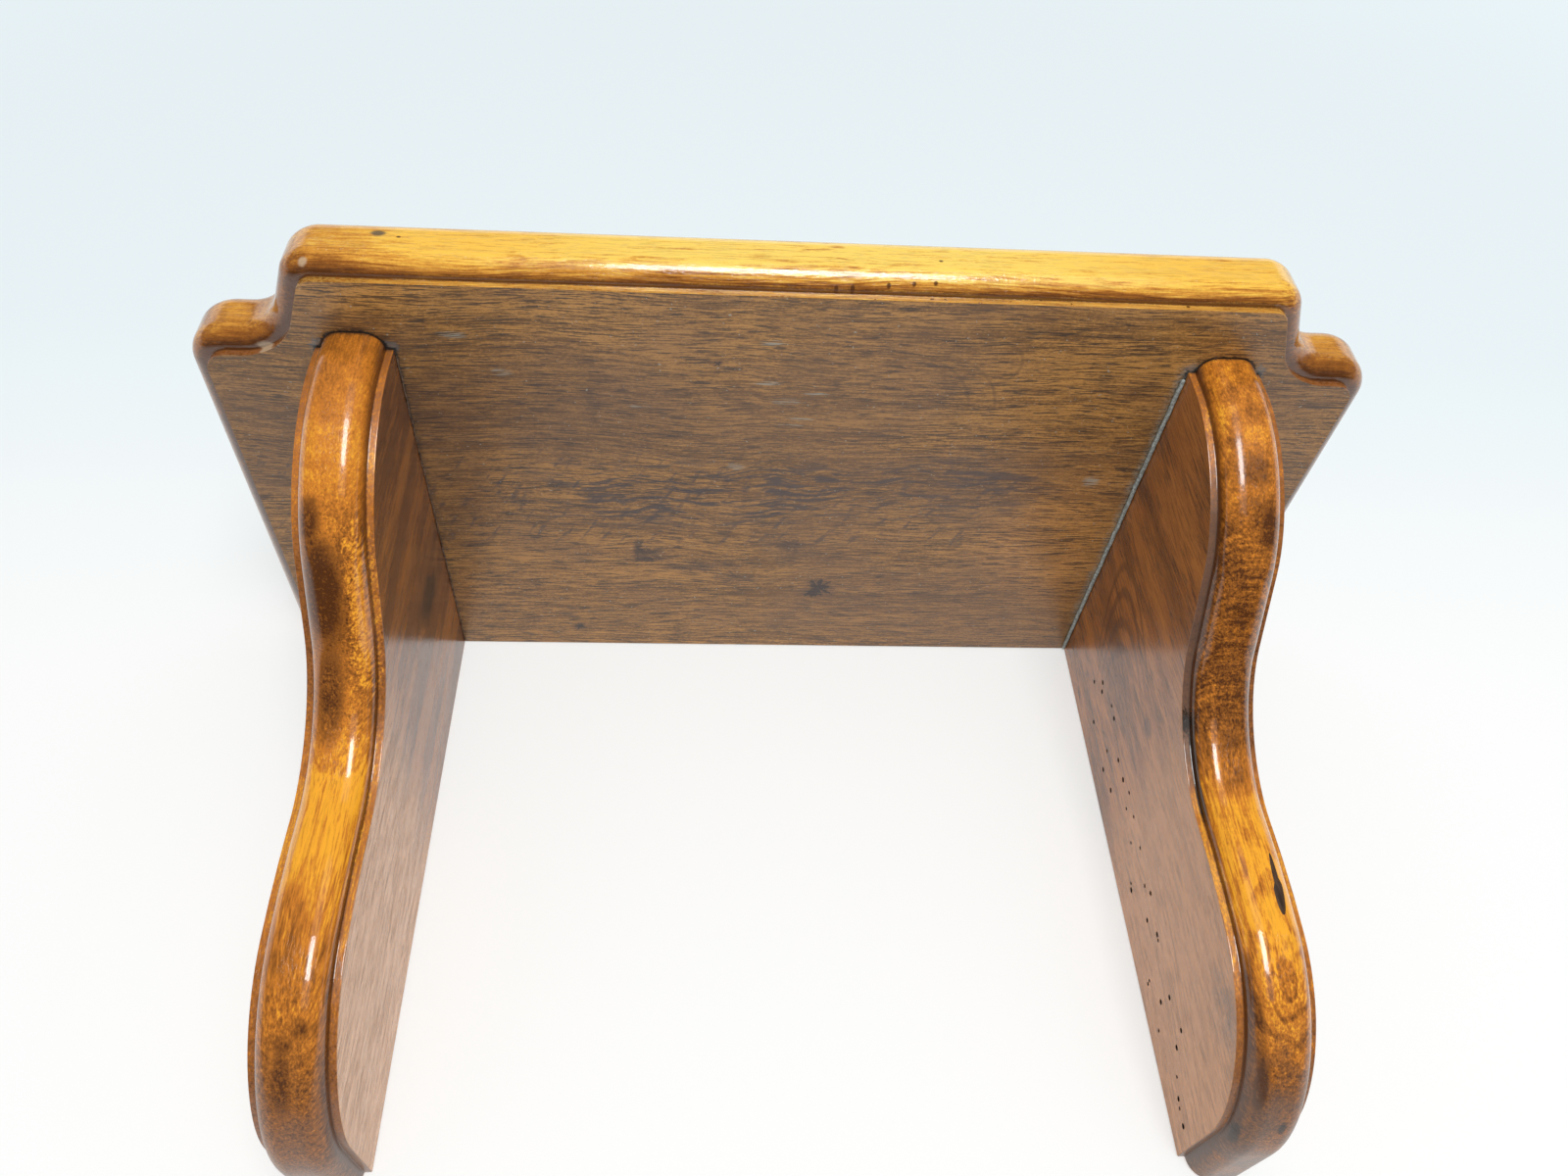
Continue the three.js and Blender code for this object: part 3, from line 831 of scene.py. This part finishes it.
def bracket_face(side, timber, face, upper):
    """A bracket's flat faces: streaks, a knot or flames, a painted shade at the left one's top, and a paler
    tint below, painted light and reflection, with the grain drawn in it
    """
    graph, look, (x, y, z) = timber.graph, LOOKS[side], timber.point
    soft = graph.noise((y + z / 13.75, z, x), (8, 60, 11), 3.0, 0.6)
    streaked = graph.rise(soft, 0.44, 0.64)
    face.lay(graph.fall(soft, 0.38, 0.5) * upper * look["rust"], RUST)
    face.lay(streaked * (upper * look["dark_streaks"] + 0.15), DARK_STREAK)
    if side == "left":
        # The top of the left bracket's faces is darkened: a painted shade under the board
        face.lay(graph.fall(-z, 40, 105) * 0.32, TOP_SHADE)
        ring = graph.patch((y, z), *LEFT_KNOT_RING, timber.blotches.swing(1.5))
        face.lay(ring * 0.5, BRACKET_KNOT_RING)
        knot = graph.patch((y, z), *LEFT_KNOT, timber.blotches.swing(1.4))
        face.lay(knot * 0.95, BRACKET_KNOT_CORE)
    else:
        face.lay(flames(timber), FLAME)
        face.lay(graph.patch((y, z), *FLAME_SPOT) * 0.75, FLAME_EYE)
    # Painted light and reflection: the faces are blended to a paler tint below the top part
    painted_light_below = graph.fall(upper + streaked * 0.2, 0.0, 1.1) * 0.65
    face.lay(painted_light_below, look["light_tint"])
    drawn = (timber.pores * 0.9).most(graph.rise(timber.lines, 0.48, 0.62) * 0.6)
    face.lay(drawn * painted_light_below, DRAWN_GRAIN)
    if side == "right":
        smudge = graph.patch((y, z), *SMUDGE_SPOT, timber.blotches.swing(1.6))
        face.lay(smudge * graph.rise(timber.blotches + timber.flecks, 0.8, 1.2) * 0.55, SMUDGE)
    return drawn


def bracket_edge(side, timber, shelf, height):
    """A bracket's moulded edge, toned by the share of its height and by patches"""
    graph, finish, look, z = timber.graph, shelf.finish, LOOKS[side], timber.point[Z]
    tone = graph.ramp(height + timber.blotches.swing(0.1), TONES[side])
    broken = timber.blotches.swing(0.9) + timber.lines.swing(1.3) + timber.fibres.swing(0.6)
    for centre, reach, change in PATCHES[side]:
        tone = tone + graph.patch(timber.point, centre, reach, broken) * change
    if side == "right":
        mottle = graph.noise(timber.point, (1.6, 2.4, 1.8), 3.0, 0.6).swing(0.9)
        tone = tone + curl_and_rings(timber) + mottle * graph.rise(z, -64, -50)
    lower = graph.fall(z, -60, -40)
    edge = timber.varnish(tone, finish.bracket_amber, finish.bracket_orange, finish.copper, shelf,
                          look["speckled"] - lower * 0.4, look["blotched"] - lower * 0.35,
                          lower * 0.85 + 0.35)
    if side == "right":
        batter(timber, edge, shelf.moulding.step / MM)
    return edge


def batter(timber, edge, step):
    """Tired varnish, an open gap, a bruise and dents on the right bracket's moulding"""
    graph, (x, y, z) = timber.graph, timber.point
    tired = graph.fall(timber.depth, step - 0.1, step + 0.1) * graph.fall(x, 106, 110)
    edge.lay(tired * graph.between(z, *TIRED_REACH) * 0.7, TIRED_VARNISH)
    gap = graph.fall(abs(timber.depth - step), 0.25, 0.6) * graph.fall(x, 104, 106)
    gap = gap * graph.between(z, *GAP_REACH)
    bruise = graph.patch(timber.point, *BRUISE, timber.flecks.swing(1.5))
    dents = reduce(Wire.most, [graph.patch((x, y), *dent, timber.flecks.swing(1.2)) for dent in DENTS])
    edge.lay(gap.most(bruise).most(dents * graph.fall(z, -164, -160)) * 0.9, HOLLOW)


def flames(timber):
    """Cathedral figure on the right bracket's inner face, nested arches that open down and back"""
    graph, (x, y, z) = timber.graph, timber.point
    ahead, above = y - FLAME_POINT[0], z - FLAME_POINT[1]
    along, across = (ahead - above) * math.sqrt(0.5), (ahead + above) * math.sqrt(0.5)
    arch = along - across ** 2 / 14 + timber.blotches.swing(5)
    arches = graph.rise((arch * 0.75).sine(), -0.3, 0.8)
    return arches * graph.rise(arch, -1, 3) * graph.fall(along, 22, 52) * graph.fall(x, 104, 108) * 0.6


def curl_and_rings(timber):
    """Cross curl above the right bracket's waist, and growth rings round a knot in its foot"""
    graph, (x, y, z) = timber.graph, timber.point
    curl = graph.noise(timber.point, (9, 5, 0.7), 3.0, 0.65).swing(1.5)
    curled = graph.between(z, *CROSS_CURL_REACH)
    wander = graph.noise(timber.point, (7, 7, 9), 1.0).swing(5)
    level = z - FOOT_KNOT[1]
    away = ((x - FOOT_KNOT[0]) ** 2 + (level.most(0) / 4.5) ** 2 + (level.least(0) / 1.2) ** 2).root()
    away = away + wander
    rings = graph.rise((away * 1.7).sine(), 0.1, 1.0) * 0.32 - 0.2
    eye = graph.fall(away - wander, 0.2, 0.9)
    return curl * curled + rings * graph.fall(away, 6, 13) + eye * 0.15


def bare_wood(name, dark, pale, grain_axis):
    """Unvarnished wood inside a joint or a hole"""
    graph = Graph(bpy.data.materials.new(name))
    sizes = tuple(14 if axis == grain_axis else 0.8 for axis in (X, Y, Z))
    grain = graph.noise(graph.places(), sizes, 3.0, 0.6)
    return graph.finish(graph.add("ShaderNodeBsdfPrincipled", None, {
        "Base Color": graph.blend(graph.rise(grain, 0.35, 0.65), dark, pale),
        "Roughness": 0.75,
        "Normal": graph.bump(grain, 0.3, 0.1 * MM),
    }))


def plated_steel(name, pale, dark, roughness):
    """Plated steel with a rolled grain and dull spots"""
    graph = Graph(bpy.data.materials.new(name))
    point = graph.places()
    rolled = graph.noise(point, (0.15, 2, 9))
    dull = graph.rise(graph.noise(point, 1.8, 4.0, 0.65), 0.5, 0.72)
    return graph.finish(graph.add("ShaderNodeBsdfPrincipled", None, {
        "Base Color": graph.blend(dull * 0.6 + rolled * 0.2, pale, dark),
        "Metallic": 1.0,
        "Roughness": dull * 0.25 + rolled * 0.12 + roughness,
        "Normal": graph.bump(rolled, 0.15, 0.05 * MM),
    }))


def dried_glue(name, dark, pale):
    """Old glue that has gathered dust"""
    graph = Graph(bpy.data.materials.new(name))
    crumbs = graph.noise(graph.places(), 0.8, 3.0, 0.6)
    return graph.finish(graph.add("ShaderNodeBsdfPrincipled", None, {
        "Base Color": graph.blend(graph.rise(crumbs, 0.4, 0.6), dark, pale),
        "Roughness": 0.7,
        "Normal": graph.bump(crumbs, 0.6, 0.2 * MM),
    }))


# Pieces

def screw_places(side):
    for place in ("upper", "lower"):
        low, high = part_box(f"{side}_{place}_screw")
        yield f"{side}_{place}_screw", low, high


def dowel_places(side):
    for place in ("front", "rear"):
        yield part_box(f"{side}_{place}_dowel")


def cut_dowel_holes(piece, side, shelf, inside):
    """Cuts both dowels' holes, which run into the board above and the bracket below"""
    room = shelf.hardware.room
    for low, high in dowel_places(side):
        start = Vector(((low.x + high.x) / 2, (low.y + high.y) / 2, low.z - room))
        hole = bar("dowel_hole", start, AXES[Z], high.z - low.z + 2 * room, (high.x - low.x) / 2 + room)
        cut_away(piece, hole, inside)


class SHELF_OT_board(bpy.types.Operator):
    """Models the board: a slab with set-back ears and a moulded front and ends"""
    bl_idname = "shelf.board"
    bl_label = "Shelf Board"

    def execute(self, context):
        shelf = settings_of(context)
        sizes, moulding = shelf.board, shelf.moulding
        low, high = BOARD_LOW, BOARD_HIGH
        cove = high.x - sizes.ear_reach
        shoulder = low.y + sizes.ear_setback
        front = cove - sizes.ear_flare
        piece = block("walnut_board", (-cove, low.y, low.z + moulding.step),
                      (cove, high.y, high.z - moulding.step))
        open_piece(piece)
        slice_through((0, shoulder, 0), AXES[Y])
        for out in (-1, 1):
            def ear_side(face, out=out):
                return face.normal.x * out > SQUARE and face.calc_center_median().y > shoulder
            draw_out(piece, ear_side, AXES[X] * out * sizes.ear_reach)
            slide(piece, "VERT", lambda v, out=out: near(v.co.y, low.y) and v.co.x * out > 0,
                  -AXES[X] * out * sizes.ear_flare)
        merge_flats()
        outline = [Vector(point) for point in (
            (0, low.y), (front, low.y), (cove, shoulder), (high.x, shoulder), (high.x, high.y),
        )]
        radii = (sizes.front_radius, sizes.cove_radius, sizes.ear_radius)
        for before, corner, after, radius in zip(outline, outline[1:], outline[2:], radii):
            def upright(edge, corner=corner):
                ends = [v.co for v in edge.verts]
                level = near(ends[0].x, ends[1].x)
                return level and all(near(abs(end.x), corner.x) and near(end.y, corner.y) for end in ends)
            round_corner(piece, upright, before, corner, after, radius)
        mould(piece, Z, low.z, high.z, moulding, (Y, high.y))
        close_piece()
        ease_edges(piece, moulding.arris)
        dress(piece, board_walnut(shelf))
        inside = bare_wood("board_hole", (0.1, 0.055, 0.03), (0.2, 0.12, 0.06), X)
        for side in SIDES:
            cut_dowel_holes(piece, side, shelf, inside)
        smooth_faces(piece)
        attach(piece, BODY)
        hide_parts("shelf_board")
        return {"FINISHED"}


# Beetle holes in the right bracket, in millimetres along y and z: the band runs from its head to its foot
BEETLE_HEAD = Vector((-21, -34))
BEETLE_FOOT = Vector((-13, -162))
BEETLE_SPREAD = 9
BEETLE_HOLES = 34
BEETLE_DEPTH = 4.5
BEETLE_RADII = (0.45, 0.85)
# Most that a beetle hole slants for each millimetre of its depth
BEETLE_SLANT = 0.3
BEETLE_SEED = 11
BEETLE_CORNERS = 12
# The long void in the right bracket's moulding, and what is left of its width and breadth at its top
VOID_TOP = Vector((115.3, -69.3, -114)) * MM
VOID_FOOT = Vector((114.2, -68.3, -129)) * MM
VOID_RADII = (1.2 * MM, 1.92 * MM)
VOID_TAPER = (0.55, 0.7, 1)


class SHELF_OT_brackets(bpy.types.Operator):
    """Models the two scrolled brackets, with the recesses in their backs"""
    bl_idname = "shelf.brackets"
    bl_label = "Brackets"

    def execute(self, context):
        shelf = settings_of(context)
        inside = bare_wood("bracket_hole", (0.045, 0.024, 0.014), (0.12, 0.065, 0.035), Z)
        for side in SIDES:
            piece = self.shape(side, shelf)
            cut_dowel_holes(piece, side, shelf, inside)
            self.cut_hanger_seat(piece, side, shelf.hardware, inside)
            if side == "right":
                self.cut_beetle_holes(piece, inside)
                self.cut_void(piece, inside)
            smooth_faces(piece)
            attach(piece, BODY)
            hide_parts(f"{side}_bracket")
        return {"FINISHED"}

    def shape(self, side, shelf):
        sizes, moulding = shelf.bracket, shelf.moulding
        low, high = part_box(f"{side}_bracket")
        top = high.z
        step = AXES[X] * moulding.step
        piece = block(f"walnut_{side}_bracket", low + step, high - step)
        outline = (
            (Vector((-sizes.top_depth, top)), 0),
            (Vector((low.y, top - sizes.crest_drop)), sizes.crest_radius),
            (Vector((-sizes.waist_depth, top - sizes.waist_drop)), sizes.waist_radius),
            (Vector((-sizes.belly_depth, top - sizes.belly_drop)), sizes.belly_radius),
            (Vector((-sizes.foot_depth, low.z)), sizes.foot_radius),
            (Vector((high.y, low.z)), 0),
        )
        open_piece(piece)
        for corner, _ in outline[1:4]:
            slice_through((0, 0, corner.y), AXES[Z])
        for corner, _ in outline[:5]:
            slide(piece, "VERT", lambda v, corner=corner: near(v.co.y, low.y) and near(v.co.z, corner.y),
                  AXES[Y] * (corner.x - low.y))
        merge_flats()
        radii = fitted_radii(outline)
        for index in range(1, 5):
            before, corner, after = (place for place, _ in outline[index - 1:index + 2])

            def level(edge, corner=corner):
                return all(near(v.co.y, corner.x) and near(v.co.z, corner.y) for v in edge.verts)
            round_corner(piece, level, before, corner, after, radii[index])
        mould(piece, X, low.x, high.x, moulding, (Y, high.y), (Z, top))
        close_piece()
        ease_edges(piece, moulding.arris)
        dress(piece, bracket_walnut(side, shelf, low, high))
        return piece

    def cut_hanger_seat(self, piece, side, sizes, inside):
        """Cuts the plate's recess, the pocket behind its keyhole and the screws' pilot holes"""
        low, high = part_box(f"{side}_hanger_plate")
        room = Vector((sizes.room, 0, sizes.room))
        seat = plate_blank("plate_recess", low - room, high + room + AXES[Y] * MM,
                           sizes.plate_corner + sizes.room)
        cut_away(piece, seat, inside)
        centre = (low + high) / 2
        radius = sizes.mouth / 2 + sizes.pocket_margin
        floor = low.y - sizes.pocket_depth
        rise = AXES[Z] * sizes.travel / 2
        for end in (centre - rise, centre + rise):
            start = Vector((end.x, floor, end.z))
            cut_away(piece, bar("head_pocket", start, AXES[Y], high.y + MM - floor, radius), inside)
        slot_low = Vector((centre.x - radius, floor, centre.z - rise.z))
        slot_high = Vector((centre.x + radius, high.y + MM, centre.z + rise.z))
        cut_away(piece, block("head_slot", slot_low, slot_high), inside)
        for _, screw_low, screw_high in screw_places(side):
            start = (screw_low + screw_high) / 2
            start.y = screw_low.y - MM
            reach = screw_high.y - screw_low.y + MM
            cut_away(piece, bar("pilot_hole", start, AXES[Y], reach, sizes.shank / 2 + sizes.room), inside)

    def cut_beetle_holes(self, piece, inside):
        """Bores the beetle holes into the inner face"""
        chance = random.Random(BEETLE_SEED)
        for index in range(BEETLE_HOLES):
            share = (index + chance.random()) / BEETLE_HOLES
            place = BEETLE_HEAD.lerp(BEETLE_FOOT, share)
            place.x += chance.uniform(-BEETLE_SPREAD, BEETLE_SPREAD)
            slant = [chance.uniform(-BEETLE_SLANT, BEETLE_SLANT) for _ in (Y, Z)]
            way = Vector((1, *slant)).normalized()
            start = Vector((RIGHT_LOW.x, place.x * MM, place.y * MM)) - way * MM
            radius = chance.uniform(*BEETLE_RADII) * MM
            hole = bar("beetle_hole", start, way, BEETLE_DEPTH * MM, radius, BEETLE_CORNERS)
            cut_away(piece, hole, inside)

    def cut_void(self, piece, inside):
        """Opens the long void in the front, pointed at its top and wider below"""
        way, middle = VOID_FOOT - VOID_TOP, (VOID_TOP + VOID_FOOT) / 2
        turn = way.to_track_quat("Z", "Y").to_euler()
        deselect()
        bpy.ops.mesh.primitive_uv_sphere_add(segments=20, ring_count=16, radius=1, location=middle,
                                             rotation=turn, scale=(*VOID_RADII, way.length / 2))
        cutter = adopt("void")
        open_piece(cutter)
        select(cutter, "VERT", lambda v: v.co.z > middle.z)
        bpy.ops.transform.resize(value=VOID_TAPER, center_override=middle)
        close_piece()
        cut_away(piece, cutter, inside)


def fitted_radii(outline):
    """Each corner's radius, small enough for the edges on both sides of it"""
    points = [corner for corner, _ in outline]
    tangents = [0.0] * len(points)
    for index in range(1, len(points) - 1):
        tangents[index] = tangent_length(*points[index - 1:index + 2], outline[index][1])
    spans = [(after - before).length for before, after in zip(points, points[1:])]
    rooms = [ROUNDING_ROOM * span / max(near_end + far_end, TOUCH)
             for span, near_end, far_end in zip(spans, tangents, tangents[1:])]
    return [radius * min([1.0, *rooms[max(index - 1, 0):index + 1]])
            for index, (_, radius) in enumerate(outline)]


# Width worn off the hardware's edges, the radius that a screw's tip ends in, and the facets in each of
# a plate's corners
PLATE_ARRIS = 0.15 * MM
SCREW_ARRIS = 0.08 * MM
TIP_RADIUS = 0.1 * MM
PLATE_FACETS = 8


def plate_blank(name, low, high, radius):
    """A plate against the back, with rounded corners"""
    piece = block(name, low, high)
    open_piece(piece)
    round_edges(piece, lambda edge: near(edge.verts[0].co.x, edge.verts[1].co.x)
                and near(edge.verts[0].co.z, edge.verts[1].co.z), radius, PLATE_FACETS)
    close_piece()
    return piece


class SHELF_OT_plates(bpy.types.Operator):
    """Models the keyhole hanger plates let into the brackets' backs"""
    bl_idname = "shelf.plates"
    bl_label = "Hanger Plates"

    def execute(self, context):
        sizes = settings_of(context).hardware
        zinc = plated_steel("zinc_plate", (0.62, 0.63, 0.65), (0.36, 0.36, 0.36), 0.28)
        for side in SIDES:
            low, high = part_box(f"{side}_hanger_plate")
            piece = plate_blank(f"steel_{side}_plate", low, high, sizes.plate_corner)
            dress(piece, zinc)
            centre = (low + high) / 2
            reach = high.y - low.y + 2 * MM
            mouth = Vector((centre.x, low.y - MM, centre.z - sizes.travel / 2))
            slot = Vector((centre.x, low.y - MM, centre.z + sizes.travel / 2))
            half = sizes.slot / 2
            cut_away(piece, bar("mouth", mouth, AXES[Y], reach, sizes.mouth / 2, 48), zinc)
            way = block("slot", (mouth.x - half, mouth.y, mouth.z), (slot.x + half, high.y + MM, slot.z))
            cut_away(piece, way, zinc)
            cut_away(piece, bar("slot_end", slot, AXES[Y], reach, half, 32), zinc)
            for _, screw_low, screw_high in screw_places(side):
                middle = (screw_low + screw_high) / 2
                head = (screw_high.x - screw_low.x) / 2 + sizes.room
                shank = sizes.shank / 2 + sizes.room
                seat = turned("screw_seat", middle, (
                    (head, high.y + MM), (head, high.y - sizes.rim),
                    (shank, high.y - sizes.head_height), (shank, low.y - MM),
                ))
                cut_away(piece, seat, zinc)
            ease_edges(piece, PLATE_ARRIS, 40)
            smooth_faces(piece)
            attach(piece, BODY)
            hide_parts(f"{side}_hanger_plate")
        return {"FINISHED"}


class SHELF_OT_screws(bpy.types.Operator):
    """Models the countersunk screws that hold the plates"""
    bl_idname = "shelf.screws"
    bl_label = "Screws"

    def execute(self, context):
        sizes = settings_of(context).hardware
        brass = plated_steel("brass_screw", (0.72, 0.52, 0.22), (0.35, 0.24, 0.1), 0.3)
        for side in SIDES:
            for name, low, high in screw_places(side):
                self.shape(name, low, high, sizes, brass)
        return {"FINISHED"}

    def shape(self, name, low, high, sizes, brass):
        middle = (low + high) / 2
        head, shank = (high.x - low.x) / 2, sizes.shank / 2
        piece = turned(f"brass_{name}", middle, (
            (head, high.y), (head, high.y - sizes.rim), (shank, high.y - sizes.head_height),
            (shank, low.y + sizes.tip), (TIP_RADIUS, low.y),
        ))
        dress(piece, brass)
        arm, half = sizes.recess_span / 2, sizes.recess_width / 2
        for wide, tall in ((arm, half), (half, arm)):
            corner = Vector((wide, 0, tall))
            centre = Vector((middle.x, 0, middle.z))
            recess_low = centre - corner + AXES[Y] * (high.y - sizes.recess_depth)
            recess_high = centre + corner + AXES[Y] * (high.y + MM)
            cut_away(piece, block("recess", recess_low, recess_high), brass)
        ease_edges(piece, SCREW_ARRIS, 30)
        smooth_faces(piece)
        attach(piece, BODY)
        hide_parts(name)


class SHELF_OT_dowels(bpy.types.Operator):
    """Finishes the beech dowels"""
    bl_idname = "shelf.dowels"
    bl_label = "Dowels"

    def execute(self, context):
        beech = bare_wood("beech", (0.42, 0.25, 0.11), (0.64, 0.42, 0.21), Z)
        for name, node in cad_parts.items():
            if name.endswith("_dowel"):
                dress(node, beech)
        return {"FINISHED"}


# The beads of glue: how far they stop behind the brackets' fronts, how thick they are in the corners
# inside the brackets and outside them, how often they are divided and how far they are unsettled
GLUE_STOP = 7 * MM
INNER_GLUE = {"left": 0.4 * MM, "right": 1.3 * MM}
OUTER_GLUE = 0.5 * MM
GLUE_CUTS = 90
GLUE_UNREST = 0.5 * MM


class SHELF_OT_glue(bpy.types.Operator):
    """Models the glue that has squeezed out of the brackets' joints"""
    bl_idname = "shelf.glue"
    bl_label = "Dried Glue"

    def execute(self, context):
        pale = dried_glue("dusty_glue", (0.22, 0.235, 0.215), (0.40, 0.44, 0.42))
        dark = dried_glue("dark_glue", (0.06, 0.036, 0.022), (0.18, 0.11, 0.07))
        front = GLUE_STOP - settings_of(context).bracket.top_depth
        for side, out, material in (("left", -1, dark), ("right", 1, pale)):
            low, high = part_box(f"{side}_bracket")
            inner, outer = sorted((low.x, high.x), key=abs)
            self.bead(f"{side}_inner_glue", inner, -out * INNER_GLUE[side], front, material)
            self.bead(f"{side}_outer_glue", outer, out * OUTER_GLUE, front, dark)
        return {"FINISHED"}

    def bead(self, name, edge, reach, front, material):
        """A bead in the corner between a bracket's side and the board, loose where it isn't stuck down"""
        start, end = sorted((edge, edge + reach))
        piece = block(name, (start, front, UNDERSIDE - abs(reach)), (end, -MM, UNDERSIDE))
        open_piece(piece)
        select(piece, "EDGE", lambda e: abs((e.verts[0].co - e.verts[1].co).normalized().y) > SQUARE)
        bpy.ops.mesh.subdivide(number_cuts=GLUE_CUTS)
        select(piece, "VERT", lambda v: not near(v.co.z, UNDERSIDE) and not near(v.co.x, edge))
        bpy.ops.transform.vertex_random(offset=GLUE_UNREST, uniform=1, normal=0, seed=len(piece.name))
        close_piece()
        with_modifier(piece, "SUBSURF", levels=1, render_levels=1)
        dress(piece, material)
        smooth_faces(piece, 80)
        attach(piece, BODY)


# Stage

CAMERA_PLACE = Vector((-25.2, -333.84, -230.09)) * MM
CAMERA_TURN = (131.076, 1.728, -3.847)
CAMERA_LENS = 26.88
CAMERA_SHIFT = (0.0017, -0.0657)
# The wall high up, its glow to the camera low down and high up, and the dark that gloss finds low down
COOL_PAINT = (0.84, 0.915, 0.94)
WHITE_GLOW = (1, 1, 0.985)
COOL_GLOW = (0.84, 0.93, 0.965)
DARK_ROOM = (0.05, 0.05, 0.05)
# Millimetres between which the wall turns cool upwards, dark downwards in the gloss, and white outwards
COOL_HEIGHTS = (-40, 160)
DARK_DROPS = (250, 700)
WHITE_DISTANCES = (250, 900)
LAMP_TARGET = Vector((0, -0.08, -0.06))


class SHELF_OT_stage(bpy.types.Operator):
    """Sets up the pale wall, the soft lamps and the camera"""
    bl_idname = "shelf.stage"
    bl_label = "Stage"

    def execute(self, context):
        stage = settings_of(context).stage
        scene = context.scene
        scene.view_settings.view_transform = "Standard"
        self.hang_wall(stage)
        self.light_sky(scene, stage)
        self.set_lamps(scene, stage)
        self.place_camera(scene)
        return {"FINISHED"}

    def hang_wall(self, stage):
        """The wall that the shelf hangs on, clear from behind"""
        deselect()
        bpy.ops.mesh.primitive_plane_add(size=8, location=(0, 0.5 * MM, 0), rotation=(math.pi / 2, 0, 0))
        wall = adopt("pale_wall")
        graph = Graph(bpy.data.materials.new("wall_paint"))
        x, _, z = graph.places()
        cool = graph.rise(z, *COOL_HEIGHTS)
        far = graph.rise(-z, *DARK_DROPS) * graph.ray("Glossy")
        paint = graph.blend(far, graph.blend(cool, stage.wall, COOL_PAINT), DARK_ROOM)
        lit = graph.add("ShaderNodeBsdfDiffuse", None, {"Color": paint})
        shine = graph.blend(far, graph.blend(cool, WHITE_GLOW, COOL_GLOW), DARK_ROOM)
        glow = graph.add("ShaderNodeEmission", None, {"Color": shine, "Strength": 1.0})
        distant = graph.rise((x ** 2 + z ** 2).root(), *WHITE_DISTANCES)
        share = graph.seen() * 0.5 + graph.ray("Camera") * distant * 0.5
        front = graph.add("ShaderNodeMixShader", None, {0: share, 1: lit, 2: glow})
        behind = graph.add("ShaderNodeNewGeometry", None, None, "Backfacing")
        clear = graph.add("ShaderNodeBsdfTransparent", None, {"Color": (1, 1, 1, 1)})
        dress(wall, graph.finish(graph.add("ShaderNodeMixShader", None, {0: behind, 1: front, 2: clear})))
        wall.visible_shadow = False

    def light_sky(self, scene, stage):
        """Even light, white to the camera, with a dimmer room in front of the shelf in the gloss"""
        world = bpy.data.worlds.new("pale_sky")
        scene.world = world
        graph = Graph(world)
        seen = graph.seen()
        way = graph.add("ShaderNodeTexCoord", None, None, "Generated")
        y, z = (graph.add("ShaderNodeSeparateXYZ", None, {0: way}, axis) for axis in (Y, Z))
        dim = graph.rise(-y - z * 0.35, 0.0, 0.2) * (1 - graph.ray("Camera")) * (1 - stage.room)
        strength = seen * (1 - dim) + (1 - seen) * stage.sky
        sky = graph.add("ShaderNodeBackground", None, {"Color": (0.98, 0.99, 1.0, 1), "Strength": strength})
        graph.finish(sky, "ShaderNodeOutputWorld")

    def set_lamps(self, scene, stage):
        """Area lamps: name, way and distance from the target, power, width and height"""
        power, size = stage.key_power, stage.key_size
        lamps = (
            ("key_lamp", Vector((0.06, -0.96, -0.25)), 1.2, power, size, size * 1.2),
            ("halo_lamp", Vector((0.1, -0.96, -0.2)), 1.3, power * 0.3, 0.9, 1.5),
            ("rear_lamp", Vector((-0.3, 0.9, 0.4)), 1.6, 5.0, 0.8, 0.8),
        )
        for name, way, reach, power, width, height in lamps:
            data = bpy.data.lights.new(name, "AREA")
            data.shape = "RECTANGLE"
            data.energy = power
            data.size = width
            data.size_y = height
            lamp = bpy.data.objects.new(name, data)
            scene.collection.objects.link(lamp)
            lamp.location = LAMP_TARGET + way.normalized() * reach
            lamp.rotation_euler = way.to_track_quat("Z", "Y").to_euler()

    def place_camera(self, scene):
        data = bpy.data.cameras.new("photo_camera")
        data.sensor_width = 36
        data.lens = CAMERA_LENS
        data.shift_x, data.shift_y = CAMERA_SHIFT
        data.clip_start = 0.01
        camera = bpy.data.objects.new("photo_camera", data)
        scene.collection.objects.link(camera)
        camera.location = CAMERA_PLACE
        camera.rotation_euler = Euler([math.radians(turn) for turn in CAMERA_TURN])
        scene.camera = camera


class SHELF_PT_panel(bpy.types.Panel):
    """Lists the shelf's pieces and settings"""
    bl_idname = "SHELF_PT_panel"
    bl_label = "Wall Shelf"
    bl_space_type = "VIEW_3D"
    bl_region_type = "UI"
    bl_category = "Wall Shelf"

    def draw(self, context):
        shelf = settings_of(context)
        for operator in OPERATORS:
            self.layout.operator(operator.bl_idname)
        for group in (shelf.moulding, shelf.board, shelf.bracket, shelf.hardware, shelf.finish, shelf.stage):
            box = self.layout.box()
            for name in group.__annotations__:
                box.prop(group, name)


GROUPS = (MouldingSizes, BoardSizes, BracketSizes, HardwareSizes, ShelfFinish, StageSettings, ShelfSettings)
OPERATORS = (SHELF_OT_board, SHELF_OT_brackets, SHELF_OT_plates, SHELF_OT_screws, SHELF_OT_dowels,
             SHELF_OT_glue, SHELF_OT_stage)


def register():
    for kind in (*GROUPS, *OPERATORS, SHELF_PT_panel):
        bpy.utils.register_class(kind)
    bpy.types.Scene.wall_shelf = PointerProperty(type=ShelfSettings)


def unregister():
    del bpy.types.Scene.wall_shelf
    for kind in reversed((*GROUPS, *OPERATORS, SHELF_PT_panel)):
        bpy.utils.unregister_class(kind)


def main():
    register()
    bpy.ops.shelf.board()
    bpy.ops.shelf.brackets()
    bpy.ops.shelf.plates()
    bpy.ops.shelf.screws()
    bpy.ops.shelf.dowels()
    bpy.ops.shelf.glue()
    bpy.ops.shelf.stage()


if __name__ == "__main__":
    main()
